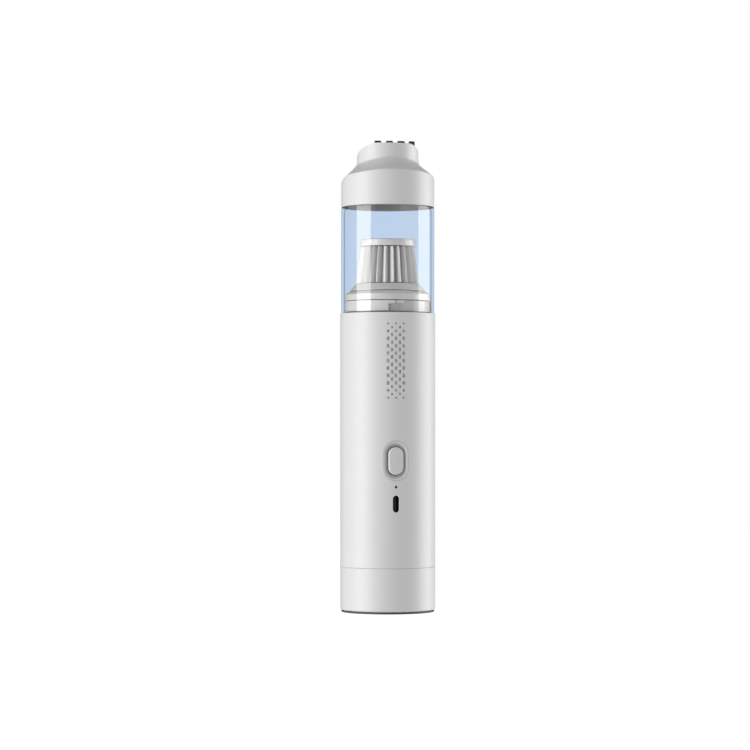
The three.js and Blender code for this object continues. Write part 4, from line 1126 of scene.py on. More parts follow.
@dataclass
class Handle(Assembly):
    """The handle's tube with its exhaust holes and its openings for button and inlet, and the foam behind."""

    radius: float = 25
    wall: float = 2
    edge: float = 0.1
    seam: float = 0.1
    patch: float = 10.4
    spacing: float = 1.2
    vent_rows: int = 21
    vent_pitch: float = 1.92
    vent_column: float = 2.04
    vent_size: tuple[float, float] = (1.46, 1.9)
    vent_end: float = 0.92
    vent_taper: int = 4
    vent_below: float = 6.0
    vent_wall: float = 0.85
    vent_edge: float = 0.15
    pocket: tuple[float, float] = (6.4, 2.6)
    bezel_hole: tuple[float, float] = (12.85, 20.8)
    bezel_edge: float = 0.12
    inlet: tuple[float, float] = (3.35, 8.7)
    inlet_edge: float = 0.18
    foam_radii: tuple[float, float] = (21.5, 22.89)
    foam_angle: float = 15
    foam_lump: float = 0.035
    foam_grid: tuple[int, int] = (49, 150)
    back_columns: int = 107

    def build(self) -> None:
        """Makes every piece."""
        self.tube()
        self.foam()

    def vents(self, top: float) -> list[Opening]:
        """The exhaust holes: rows of three and of two by turns, smaller in the first and last rows."""
        rows = np.arange(self.vent_rows)
        share = np.minimum(1, np.minimum(rows, self.vent_rows - 1 - rows) / self.vent_taper)
        outlines = pill(*(self.vent_end + (size - self.vent_end) * share for size in self.vent_size), 24)
        pitch = math.degrees(self.vent_column / self.radius)
        return [
            Opening.straight(outlines[row], self.radius, self.radius - self.vent_wall, self.vent_edge,
                             column * pitch, top - row * self.vent_pitch)
            for row in rows.tolist() for column in ((-2, 0, 2) if row % 2 == 0 else (-1, 1))
        ]

    def openings(self) -> list[Opening]:
        """Every hole in the tube."""
        outer, inner = self.radius, self.radius - self.wall
        button, inlet, light = (middle(node)[2] for node in ("power_button", "usb_tongue", "light_pipe"))
        lamp = [(0.9, 0), (0.8, 0), (0.72, 0.08), (0.72, 1.1), (1.4, 1.1), (1.4, self.wall)]
        return [
            *self.vents(heights("body_shell")[1] - self.vent_below),
            Opening.straight(pill(*self.bezel_hole, 96), outer, inner, self.bezel_edge, 0, button),
            Opening.straight(pill(*self.inlet, 48), outer, inner, self.inlet_edge, 0, inlet),
            Opening([(circle(size, 24), outer - sunk) for size, sunk in lamp], 0, light),
        ]

    def tube(self) -> None:
        """The tube: a triangulated front strip with the holes, an even grid round the back, two end rings."""
        low, high = heights("body_shell")
        low -= self.seam
        outer, inner, edge = self.radius, self.radius - self.wall, self.edge
        levels = stations(low + edge, high - edge, self.spacing)
        half = math.degrees(self.patch / outer)
        across = np.linspace(-half, half, round(2 * self.patch / self.spacing) + 1)
        back = np.linspace(half, 360 - half, self.back_columns)
        arc = np.radians(across) * outer
        border = np.concatenate([
            at_height(arc[:, None], levels[0]),
            np.column_stack([np.full(len(levels) - 2, arc[-1]), levels[1:-1]]),
            at_height(arc[::-1, None], levels[-1]),
            np.column_stack([np.full(len(levels) - 2, arc[0]), levels[-2:0:-1]]),
        ])
        skin, holes = Skin(), self.openings()
        for radius, ring in ((outer, 0), (inner, -1)):
            points, faces = triangulated(border, [hole.unrolled(ring, outer) for hole in holes], self.spacing)
            depth = self.thinned(points) * (radius == inner)
            skin.sheet(turn_points(radius + depth, np.degrees(points[:, 0] / outer), points[:, 1]), faces)
            skin.grid(turn_points(radius, back[None], levels[:, None]), around=False)
        for hole in holes:
            skin.grid(hole.wall())
        corner = np.array([[0, 0], [edge * QUARTER, edge * (1 - QUARTER)], [edge, edge]])
        around = np.concatenate([across, back[1:-1]])
        for end, way in ((levels[0], -1), (levels[-1], 1)):
            rim = np.concatenate([np.array([outer, end]) + corner * np.array([-1, way]),
                                  np.array([inner, end]) + corner[::-1] * np.array([1, way])])
            skin.grid(turn_points(rim[:, :1], around[None], rim[:, 1:]))
        self.put(skin, "body_shell", CASING)

    def thinned(self, points: Points) -> Points:
        """How much the wall is thinned in the pocket behind the exhaust holes, over arc length and height."""
        top = heights("body_shell")[1] - self.vent_below
        bottom = top - (self.vent_rows - 1) * self.vent_pitch
        side, end = self.pocket
        share = band(points[..., 0], -side, side, 1.0) * band(points[..., 1], bottom - end, top + end, 1.0)
        return share * (self.wall - self.vent_wall)

    def foam(self) -> None:
        """The foam strip: a bent slab that fills the pocket, whose faces swell and sink by a seeded noise."""
        low, high = heights("exhaust_foam")
        columns, rows = self.foam_grid
        degrees = np.linspace(-self.foam_angle, self.foam_angle, columns)
        levels = np.linspace(low, high - 0.2, rows)[:, None]
        lumps = np.abs(np.random.default_rng(7).normal(0, self.foam_lump, (2, len(levels), len(degrees))))
        arc = np.radians(degrees)[None] * self.radius * 1.12
        spots = np.stack(np.broadcast_arrays(arc, levels), axis=-1)
        front = self.foam_radii[1] - lumps[0] + self.thinned(spots)
        rear = self.foam_radii[0] + lumps[1]
        loops = turn_points(np.concatenate([front, rear[:, ::-1]], axis=1),
                            np.concatenate([degrees, degrees[::-1]])[None], levels)
        skin = Skin().grid(loops)
        for end in (0, -1):
            skin.grid(np.stack([loops[end, :len(degrees)], loops[end, :len(degrees) - 1:-1]]), around=False)
        self.put(skin, "exhaust_foam", FOAM, sharp=60)


@dataclass
class PowerKey(Assembly):
    """The dished bezel, the power button in it and the switch behind."""

    radius: float = 25
    bezel_size: tuple[float, float] = (12.65, 20.6)
    rim: float = 0.2
    dish: float = 1.8
    key_size: tuple[float, float] = (7.9, 14.5)
    key_round: float = 0.8
    crown: float = 0.12
    flange: float = 0.8
    gap: float = 0.32

    def build(self) -> None:
        """Makes every piece."""
        self.bezel()
        self.key()
        self.switch()

    def bezel(self) -> None:
        """The bezel: pill rings from the key's hole over the dished face and the rim, down to the lip."""
        back, _, height = seen_from_front("button_bezel")
        lip, floor = back + self.flange, self.radius - self.dish
        hole = tuple(side + 2 * self.gap for side in self.key_size)
        outer = lambda inset, sunk: on_tube(self.bezel_size, inset, sunk, self.radius, height)
        bore = pill_rings(hole, height, [(0, back), (0, floor - 0.15), (0.08, floor - 0.03), (0.16, floor),
                                         (0.24, floor), (0.3, floor)])
        foot, brim = bore.pop(), outer(self.rim, 0)
        slope = [foot + (brim - foot) * share + np.array([0, sink, 0]) for share, sink in
                 ((0.08, 0), (0.2, 0), (0.4, 0), (0.6, 0), (0.8, 0), (0.92, 0.01), (0.97, 0.01))]
        edge = [outer(*row) for row in ((self.rim - 0.05, 0), (0.08, 0), (0.02, 0.02), (0, 0.08))]
        seat = pill_rings(self.bezel_size, height, [(0, lip), (2, lip), (2, back)])
        skin = Skin().grid(np.stack(bore + slope + edge + seat), along=True)
        self.put(skin, "button_bezel", BEZEL, sharp=34)

    def key(self) -> None:
        """The button: pill rings that shrink along a quarter round, then rise along a shallow crown."""
        back, face, height = seen_from_front("power_button")
        lip, edge, half = back + self.flange, self.key_round, self.key_size[0] / 2
        turn = np.linspace(0, np.pi / 2, 7)
        insets = np.concatenate([edge * (1 - np.cos(turn)), np.linspace(edge, half - 0.05, 8)[1:]])
        share = np.clip((insets - edge) / (half - edge), 0, 1)
        rise = np.where(insets <= edge, 0, self.crown * np.sin(share * np.pi / 2))
        outs = face - self.crown - edge + np.concatenate([edge * np.sin(turn), np.full(7, edge)]) + rise
        rows = [(2.4, back), (2.4, lip), (0, lip), *zip(-2 * insets, outs)]
        self.put(Skin().tower(pill_rings(self.key_size, height, rows)), "power_button", TRIM, sharp=40)

    def switch(self) -> None:
        """The tact switch keeps its mesh; its plunger is a short turned pin with a rounded end."""
        self.keep(NICKEL, "tact_switch")
        back, face, height = seen_from_front("switch_plunger")
        pin = rod(1.6, face - back, (0.1, 0.35), steps=4)
        self.put(pin, "switch_plunger", BLACK, moved=to_front(-back, height))


@dataclass
class ChargeBoard(Assembly):
    """The control board with the charging inlet and the light behind the small hole."""

    inlet: tuple[float, float] = (3.2, 9.0)
    inlet_wall: float = 0.35
    tongue: tuple[float, float] = (0.7, 6.6)
    pipe: float = 1.1
    tip: float = 0.68
    tip_length: float = 0.9
    corner: float = 1.2
    screw_hole: float = 1.3
    screw_side: float = 8
    screw_below: float = 5
    screw_length: float = 5

    def build(self) -> None:
        """Makes every piece."""
        self.plate()
        self.socket()
        self.light()
        for number in (1, 2):
            node = f"board_screw_{number}"
            x, _, z = middle(node)
            self.screw(node, self.screw_length, placed(x, span(node)[0][1], z, (0, 2, 1)))

    def plate(self) -> None:
        """The board: a thin plate with round corners and two screw holes."""
        back, face, height = seen_from_front("control_board")
        low, high = span("control_board")
        across, _, up = (high - low) / 2
        corners = rectangle((-across, across), (-up, up), [self.corner] * 4)
        border = with_spacing(rounded(corners, 0, 5), 1.5)
        holes = [circle(self.screw_hole, 32, x, up - self.screw_below)
                 for x in (-self.screw_side, self.screw_side)]
        skin = pierced_plate(border, holes, back, face, 0.08)
        self.put(skin, "control_board", BOARD, moved=to_front(0, height))

    def socket(self) -> None:
        """The inlet's drawn shell with a flared mouth, and its tongue, whose finish has the contacts."""
        back, mouth, height = seen_from_front("usb_socket_shell")
        wall = 2 * self.inlet_wall
        shell = [(0, back), (0, mouth - 0.25), (0.1, mouth - 0.06), (0.26, mouth), (wall - 0.16, mouth),
                 (wall, mouth - 0.12), (wall, back)]
        skin = Skin().grid(np.stack(pill_rings(self.inlet, height, shell, 64)), along=True)
        self.put(skin, "usb_socket_shell", BLUED, sharp=40)
        back, tip, _ = seen_from_front("usb_tongue")
        base = pill_rings(self.inlet, height, [(-0.6, back), (-0.6, back + 1)], 64)
        blade = pill_rings(self.tongue, height, [(0, back + 1), (0, tip - 0.4), (-0.12, tip - 0.12),
                                                 (-0.35, tip)], 64)
        self.put(Skin().tower(base + blade), "usb_tongue", CONTACTS)

    def light(self) -> None:
        """The light pipe: a turned rod with a domed tip; the chip behind it keeps its mesh."""
        back, face, height = seen_from_front("light_pipe")
        length, r, tip = face - back, self.pipe, self.tip
        end = length + self.tip_length
        line = [[0, 0], [r, 0, 0.1], [r, length - 0.3, 0.15], [tip, length - 0.1, 0.05], [tip, end, 0.15],
                [0, end + 0.05]]
        skin = turned(line, 0, 4, 32, closed=False)
        self.put(skin, "light_pipe", SMOKED, moved=to_front(-back, height))
        self.keep(CHIP, "led_chip")


@dataclass
class BatteryPack(Assembly):
    """The cradle, two cells, the strips and the leads."""

    cell_radius: float = 9.2
    tip_radius: float = 3.4

    def build(self) -> None:
        """Makes every piece."""
        self.keep(BLACK, "battery_cradle")
        self.keep(NICKEL, "cell_link_strip", "battery_tab_positive", "battery_tab_negative")
        for node, sign in (("battery_cell_left", 1), ("battery_cell_right", -1)):
            self.cell(node, sign)
        for side, finish in (("positive", RED_WIRE), ("negative", BLACK_WIRE)):
            self.keep(finish, f"battery_lead_{side}", f"motor_lead_{side}")

    def cell(self, node: str, sign: int) -> None:
        """A cell: a wrapped can with a rolled groove under its top, a vented cap and an insulating ring.

        Args:
            node: The CAD node.
            sign: 1 for a cell that stands upright, -1 for one upside down.
        """
        low, high = heights(node)
        length, r, tip = high - low, self.cell_radius, self.tip_radius
        top = length - 1.2
        line = [[0, 0.15], [r - 1.3, 0.15, 0.1], [r - 1.0, 0, 0.1], [r - 0.5, 0, 0.3], [r, 0.8, 0.5],
                [r, top - 4.6, 0.4], [r - 0.45, top - 4.0, 0.5], [r, top - 3.4, 0.4], [r, top - 0.5, 0.4],
                [r - 0.8, top, 0.3], [r - 1.6, top, 0.1], [r - 1.8, top - 0.25, 0.1],
                [tip + 1.0, top - 0.25, 0.2], [tip + 0.2, top, 0.2], [tip, length - 0.2, 0.25],
                [tip - 0.5, length, 0.2], [0, length]]
        x, y, _ = middle(node)
        moved = placed(x, y, low if sign > 0 else high, signs=(1, sign, sign))
        self.put(turned(line, 0, 4, 96, closed=False), node, WRAP, sharp=40, moved=moved)


@dataclass
class Motor(Assembly):
    """The motor with its rubber damper, screws and mounting plate."""

    radius: float = 13.9
    bearing: float = 3.0
    commutator: float = 3.3
    shaft: float = 1.15
    ring_bore: float = 1.45
    screw_length: float = 4.2
    sides: int = 96

    def build(self) -> None:
        """Makes every piece."""
        self.keep(SEAL_RUBBER, "motor_damper")
        self.keep(FERRITE, "motor_magnet_left", "motor_magnet_right")
        self.keep(LAMINATED, "motor_armature")
        self.keep(BLACK, "motor_plate")
        self.can()
        self.bell()
        for node, radius in (("motor_bearing_lower", self.bearing), ("motor_bearing_upper", self.bearing),
                             ("commutator", self.commutator)):
            corners = rectangle((self.ring_bore, radius), heights(node), [0.2] * 4)
            self.put(turned(corners, sides=48), node, BRASS)
        low, high = heights("motor_shaft")
        self.stand(rod(self.shaft, high - low, (0.2, 0.2)), "motor_shaft", STEEL)
        for number in (1, 2):
            node = f"motor_screw_{number}"
            flip = placed(middle(node)[0], 0, heights(node)[1], signs=(1, -1, -1))
            self.screw(node, self.screw_length, flip)

    def can(self) -> None:
        """The can: a deep-drawn cup with rolled shoulders and a raised bearing seat."""
        r, bore, boss, seat, top = self.radius, self.radius - 1, 5.0, 3.3, 30.0
        profile = [[bore, 0, 0.2], [r, 0, 0.2], [r, top, 1.0], [boss, top, 0.4], [boss, top + 2.2, 0.4],
                   [seat, top + 2.2, 0.2], [seat, top - 1.2, 0.1], [bore, top - 1.2, 0.6]]
        self.stand(turned(profile, 0, 4, self.sides), "motor_can", STEEL)

    def bell(self) -> None:
        """The end bell: a turned plastic lid with its bearing seat."""
        profile = [[3.3, 0], [self.radius, 0], [self.radius, 2.5], [12.6, 2.5], [12.6, 4.5], [11.0, 4.5],
                   [11.0, 2.5], [4.6, 2.5], [4.6, 4.5], [3.3, 4.5]]
        self.stand(turned(profile, 0.25, sides=self.sides), "motor_end_bell", BLACK)


@dataclass
class Fan(Assembly):
    """The diffuser, impeller and shroud."""

    radius: float = 20.7
    bore: float = 19.3

    def build(self) -> None:
        """Dresses two nodes and turns the shroud, a drum whose roof falls towards its wall, with an eye."""
        self.keep(BLACK, "diffuser")
        self.keep(NATURAL, "impeller")
        low, high = heights("fan_shroud")
        radius, bore, height, roof = self.radius, self.bore, high - low, high - low - 1.6
        profile = [[bore, 0], [radius, 0], [radius, height], [bore, height], [bore, roof - 1.8], [9, roof],
                   [9, height], [7.6, height], [7.6, roof - 1.4], [bore, roof - 3.2]]
        self.stand(turned(profile, 0.3, 4, 96), "fan_shroud", BLACK)


@dataclass
class CupMount(Assembly):
    """The bayonet collar at the top of the handle, its ring seal and the grille over the fan.

    The collar's angles are those of its first half: where the lug's path starts and ends, where the hook
    ends, and where the block beside the entry starts and ends.
    """

    radius: float = 22.7
    bore: float = 20
    socket: float = 17.0
    socket_depth: float = 2.5
    groove: float = 21.2
    recess: float = 21.65
    hook: float = 1.9
    start: float = -9
    hook_end: float = 0.5
    block_start: float = 1.5
    block_end: float = 12.2
    end: float = 81
    seal: tuple[float, float, float] = (22.1, 0.6, 0.6)
    grille: float = 19.7
    slot_radii: tuple[float, float] = (5, 17)
    slot_half: float = 11
    slots: int = 10
    soft: float = 0.16

    def build(self) -> None:
        """Makes every piece."""
        self.collar()
        self.put(torus("collar_oring", *self.seal), "collar_oring", SEAL_RUBBER)
        holes = [sector_outline(*self.slot_radii, centre - self.slot_half, centre + self.slot_half)
                 for centre in evenly(self.slots)]
        grille = pierced_plate(circle(self.grille, 128), holes, *heights("intake_guard"), 0.15, 2.5)
        self.put(grille, "intake_guard", WHITE)

    def collar(self) -> None:
        """The collar: radius as a field over angle and height.

        It is the full radius, less the groove's depth between the groove's edges, or less the recess's depth
        where a recess is. A recess is the lug's path below the hook, and the entry between the blocks above.
        """
        low, high = heights("collar_oring")
        groove_low, groove_high = low - 0.3, high + 0.3
        bottom, top = heights("bayonet_collar")
        slot_top, soft = top - self.hook, self.soft
        soft_angle = math.degrees(soft / self.radius)
        columns = bayonet_columns((self.start, self.hook_end, self.block_start, self.block_end, self.end),
                                  soft_angle)
        levels = stations(bottom + 0.2, top - 0.2, 0.8, (groove_low, groove_high, slot_top), soft)
        angle, z = columns[None], levels[:, None]
        ring = band(z, groove_low, groove_high, soft) * (self.radius - self.groove)
        sector = lambda start, end: bayonet_band(angle, start, end, soft_angle)
        low_path = sector(self.start, self.end) * band(z, groove_high - 0.3, slot_top, soft)
        entry = np.maximum(sector(self.hook_end, self.block_start), sector(self.block_end, self.end))
        path = np.maximum(low_path, entry * band(z, slot_top - 0.5, top + 5, soft))
        outside = self.radius - np.maximum(ring, path * (self.radius - self.recess))
        ledge = top - self.socket_depth
        inner = rounded([[self.socket, top], [self.socket, ledge, 0.1], [self.bore, ledge, 0.1],
                         [self.bore, bottom]], 0, 3, closed=False)
        wall = np.broadcast_to(inner[:, :1], (len(inner), len(columns)))
        radius = np.concatenate([outside, outside[-1:] - 0.2, wall, outside[:1] - 0.2])
        height = np.concatenate([levels, [top], inner[:, 1], [bottom]])[:, None]
        skin = Skin().grid(turn_points(radius, angle, height), along=True)
        self.put(skin, "bayonet_collar", COLLAR, sharp=42)


@dataclass
class FilterUnit(Assembly):
    """The filter: flange, retainer, core, pleated paper, top disc and gasket."""

    pleats: int = 24
    depth: float = 2.7
    paper: float = 0.9
    bottom_radius: float = 16.5
    top_radius: float = 14.05
    per_pleat: int = 16
    rim: float = 19.95
    disc: float = 14.6

    def build(self) -> None:
        """Makes every piece."""
        gasket = [[15.0, 0], [16.7, 0], [16.7, 0.7, 0.1], [16.45, 0.9, 0.1], [16.7, 1.1, 0.1], [16.7, 2.4],
                  [15.9, 2.4], [15.7, 2.1, 0.1], [15.5, 2.4], [15.0, 2.4]]
        flange = [[12.8, 0], [14.7, 0, 0.5], [14.7, 5.6], [22.7, 5.6, 0.3], [22.7, 8.8, 0.3],
                  [self.rim, 10.5, 0.35], [8.8, 10.5, 0.3], [8.8, 9.0], [12.8, 7.5, 0.4]]
        retainer = [[10.5, 0], [self.rim, 0, 0.3], [16.8, 3.7, 0.4], [10.5, 3.7]]
        self.stand(turned(gasket, 0.25), "filter_gasket", SEAL_RUBBER)
        self.stand(turned(flange, 0.2, 4, 160), "filter_flange", WHITE)
        self.stand(turned(retainer, 0.2, 4, 160), "filter_retainer", WHITE)
        self.keep(NATURAL, "filter_core")
        self.folded_paper()
        low, high = heights("filter_top_disc")
        under, dip = high - 3.6, high - 0.35
        line = [[0, low], [8.5, low], [8.5, under], [self.disc, under], [self.disc, high, 0.9], [6.0, high],
                [5.6, dip], [0, dip]]
        self.put(turned(line, 0.3, 5, 128, closed=False), "filter_top_disc", WHITE)

    def folded_paper(self) -> None:
        """The pleats.

        A fold's share is arccos(0.94 cos(pleat phase)) over its range, a triangle wave with round tips. The
        phase of each pleat and its depth wander a little by a seeded random walk that closes on itself.
        """
        rng = np.random.default_rng(11)
        low, high = heights("filter_pleats")
        turn = np.arange(self.pleats * self.per_pleat) / self.per_pleat
        knots = np.arange(self.pleats + 1)
        closed = lambda values: np.append(values, values[:1])
        wander = lambda size: np.interp(turn, knots, closed(rng.normal(0, size, self.pleats)))[None]
        rows = np.linspace(0, 1, 13)[:, None]
        shift = wander(0.05) + wander(0.03) * (rows - 0.5)
        bend = lambda cosine: np.arccos(0.94 * cosine)
        share = (bend(np.cos(2 * np.pi * (turn[None] + shift))) - bend(1.0)) / (bend(-1.0) - bend(1.0))
        depth = self.depth * (1 + wander(0.04) * (1 + 0.3 * rows))
        edge = self.bottom_radius + (self.top_radius - self.bottom_radius) * rows
        degrees, height = (turn * 360 / self.pleats)[None], low + (high - low) * rows
        outside = edge - depth * share
        outer, inner = (turn_points(outside - inset, degrees, height) for inset in (0, self.paper))
        skin = Skin().grid(np.concatenate([outer, inner[::-1]]), along=True)
        self.put(skin, "filter_pleats", PAPER, sharp=60)


@dataclass
class DustCup(Assembly):
    """The clear cup with its neck and two bayonet lugs, and the neck's ring seal."""

    radius: float = 24.5
    bore: float = 23.0
    height: float = 55.2
    neck_radius: float = 23.2
    neck_bore: float = 21.7
    lug_inner: float = 21.95
    lug_start: float = -8
    lug_end: float = -0.6
    seal: tuple[float, float, float] = (20.95, 0.45, 0.6)
    soft: float = 0.2

    def build(self) -> None:
        """Makes the seal and the cup, whose bore is a field over angle and height with steps at the lugs."""
        low, high = heights("dust_cup")
        lug_low, lug_high = heights("collar_oring")[1] + 0.6, heights("bayonet_collar")[1] - 2.2
        soft_angle = math.degrees(self.soft / self.bore)
        columns = bayonet_columns((self.lug_start, self.lug_end), soft_angle)
        shoulder = low + self.height
        outer = rounded([[self.radius - 0.3, low], [self.radius, low, 0.3], [self.radius, shoulder, 0.35],
                         [self.neck_radius, shoulder, 0.15], [self.neck_radius, high, 0.3],
                         [self.neck_bore, high, 0.3], [self.neck_bore, shoulder, 0.5],
                         [self.bore, shoulder - 1.3, 0.5], [self.bore, lug_high + 2]], 0, 5, closed=False)
        levels = stations(low + 0.25, lug_high + 1.9, 0.9, (lug_low, lug_high), self.soft)[::-1]
        angle, z = columns[None], levels[:, None]
        lugs = bayonet_band(angle, self.lug_start, self.lug_end, soft_angle)
        bore = self.bore - (self.bore - self.lug_inner) * lugs * band(z, lug_low, lug_high, self.soft)
        even = lambda radii: np.broadcast_to(radii, (len(radii), len(columns)))
        radius = np.concatenate([even(outer[:, :1]), bore, even(np.array([[self.bore + 0.25]]))])
        height = np.concatenate([outer[:, 1], levels, [low]])
        skin = Skin().grid(turn_points(radius, angle, height[:, None]), along=True)
        self.put(skin, "dust_cup", CLEAR, sharp=44)
        self.put(torus("cap_oring", *self.seal), "cap_oring", SEAL_RUBBER)


@dataclass
class NozzleCap(Assembly):
    """The tapered cap with its slanted mouth, the toothed rubber lip and the inlet flap in its seat."""

    radius: float = 24.5
    wall_height: float = 11.3
    crease_height: float = 15.8
    crease_rise: float = 2.5
    crease_radius: float = 22.3
    crease_front: float = 24.3
    base_height: float = 21.5
    base_rise: float = 3.0
    base_radius: float = 16.95
    tube_radius: float = 16.35
    tube_rise: float = 0.9
    lip_height: float = 32.7
    lip_radius: float = 15.9
    bore: float = 14.6
    roof_radius: float = 20.6
    wall: float = 1.8
    edge: float = 0.12
    flat_angle: float = 38
    fall: float = 0.386
    back_fall: float = 0.3
    sides: int = 192
    teeth: tuple[tuple[float, float], ...] = ((-32, 8), (-6.3, 8), (20.2, 9), (59, 14))
    seat_bore: float = 12.0
    ear_from: float = 3.6
    ear_thick: float = 1.6
    ear_reach: tuple[float, float] = (11.4, 18.0)
    ear_heights: tuple[float, float] = (-2.2, 1.9)
    ear_front: float = 10.36
    flap_radius: float = 13.3
    flap_thick: float = 0.6
    arm_half: float = 3.2
    barrel: float = 1.7
    pin: float = 0.7
    pin_hole: float = 1.0
    tooth_height: float = 1.0
    tooth_lift: float = 1.4
    tooth_round: float = 2.2
    sunk: float = 0.5

    def build(self) -> None:
        """Makes every piece."""
        self.cap()
        self.lip()
        self.inlet_valve()

    @property
    def bottom(self) -> float:
        """The height of the cap's lower edge."""
        return heights("nozzle_cap")[0]

    def mouth_height(self, y: Points) -> Points:
        """The mouth's edge over y: level across the front, then falling, a little less behind the middle."""
        hinge = -self.lip_radius * math.cos(math.radians(self.flat_angle))
        fallen = self.fall * np.clip(y - hinge, 0, -hinge) + self.back_fall * np.maximum(y, 0)
        return self.bottom + self.lip_height - fallen

    def rows(self, radius: Points | float, height: Points) -> Points:
        """Rows of points round the cap, from radii and from heights over its lower edge."""
        return turn_points(radius, evenly(self.sides)[None], self.bottom + height)

    def cap(self) -> None:
        """The cap: rows up the outside, over the mouth and down the inside.

        With f the cosine of the angle from the front, the crease lies at its side height + rise * f |f| and
        the nozzle's base at its own side height + rise * f^2 in front. The wall leaves its radius R for the
        crease's radius r as R - (R - r) * share^n, with n 3 at the sides and 8 in front, where it is crisp.
        """
        front = np.cos(np.radians(evenly(self.sides)))[None]
        blunt = eased((front + 0.03) / 0.42)
        crease = self.crease_height + self.crease_rise * front * np.abs(front)
        crease_radius = self.crease_radius + (self.crease_front - self.crease_radius) * blunt
        base = self.base_height + self.base_rise * np.maximum(front, 0) ** 2
        share = np.array([0, 0.15, 0.35, 0.52, 0.66, 0.77, 0.86, 0.93, 0.975, 1.0])[:, None]
        climb = np.linspace(0.02, 0.97, 9)[:, None]
        foot = rounded([[23.5, 0.4], [23.5, 0, 0.12], [self.radius, 0, 0.3], [self.radius, 1.2]], 0, 6,
                       closed=False)
        inner = np.array([[20.9, self.wall_height], [20.9, 7.0], [19.3, 5.5], [19.3, 0.2], [19.5, 0],
                          [20.9, 0], [21.1, 0.2], [21.1, 0.9], [20.2, 1.0], [20.2, 2.6], [21.1, 2.7],
                          [21.1, 5.7], [23.5, 5.7]])
        outside = np.array([0.03, 0.06, 0.09, 0.13, 0.2, 0.32, 0.48, 0.64, 0.8, 0.92, 1.0])
        loops = [
            self.rows(foot[:, :1], foot[:, 1:]),
            self.rows(self.radius - (self.radius - crease_radius) * share ** (3 + 5 * blunt),
                      self.wall_height + (crease - self.wall_height) * share),
            self.rows(crease_radius + (self.base_radius - crease_radius) * climb,
                      crease + (base - crease) * climb),
            self.tube_rows((self.base_radius, self.tube_radius, self.lip_radius), base, outside),
            self.tube_rows((self.bore,) * 3, base - self.wall, np.linspace(1, 0, 6)),
            self.rows(self.roof_radius, crease - self.wall),
            self.rows(inner[:, :1], inner[:, 1:]),
        ]
        self.put(Skin().grid(np.concatenate(loops), along=True), "nozzle_cap", CAP, sharp=30)

    def tube_rows(self, radii: Sequence[float], base: Points, shares: Points) -> Points:
        """Rows of the nozzle between its base ring and the mouth plane, with the rim's edge rounded.

        Args:
            radii: The radii of the base ring, at the top of its fillet, and at the mouth.
            base: The base ring's heights over the cap's lower edge, (1, sides).
            shares: Where the rows lie between base and mouth, 0 to 1.

        Returns:
            Rows of points, one column for each angle.
        """
        turn, edge, drop = np.radians(evenly(self.sides)), self.edge, 0.3 * self.edge
        top = self.mouth_height(-radii[2] * np.cos(turn))[None] - self.bottom - drop
        height = base + (top - base) * shares[:, None]
        fillet = np.clip((height - base) / self.tube_rise, 0, 1)
        upper = np.clip((height - base - self.tube_rise) / (self.lip_height - base - self.tube_rise), 0, 1)
        radius = radii[0] + (radii[1] - radii[0]) * fillet + (radii[2] - radii[1]) * upper
        if shares[-1] == 1:
            return self.rows(np.vstack([radius, radius[-1:] - edge]), np.vstack([height, height[-1:] + drop]))
        return self.rows(np.vstack([radius[:1] + edge, radius]), np.vstack([height[:1] + drop, height]))

    def lip(self) -> None:
        """The rubber lining: its top lies a little under the mouth's edge, and teeth stand across the front.

        Each tooth is given by its angle and half width in degrees. Its height is sqrt(1 - t^2) of the full
        one, where t runs from 0 to 1 over its last degrees. The teeth rise by lift * (1 - cos angle) to the
        sides.
        """
        outer, inner = self.bore - 0.3, self.bore - 1.5
        low = heights("mouth_lip")[0] - 0.2
        centres, halves = np.array(self.teeth, float).T[:, :, None]
        degrees = np.unique(np.concatenate([np.arange(-180, 180, 3), np.linspace(-44, 70, 191)]))
        angle = np.radians(degrees)
        corner = np.clip((np.abs(degrees[None] - centres) - halves) / self.tooth_round + 1, 0, 1)
        tooth = np.sqrt(1 - corner**2).max(axis=0)
        plain = self.mouth_height(-outer * np.cos(angle)) - self.sunk
        full = self.bottom + self.lip_height + self.tooth_height + self.tooth_lift * (1 - np.cos(angle))
        top = np.maximum(plain + (full - plain) * tooth, low + 0.45)
        side = low + 0.2 + 0.8 * (top - 0.4 - low)
        rows = [(inner, low + 0.2), (inner, side), (inner, top - 0.2), (inner + 0.2, top), (outer - 0.2, top),
                (outer, top - 0.2), (outer, side), (outer, low + 0.2), (outer - 0.2, low), (inner + 0.2, low)]
        points = np.stack([turn_points(radius, degrees, height) for radius, height in rows])
        self.put(Skin().grid(points, along=True), "mouth_lip", DARK_RUBBER, sharp=50)

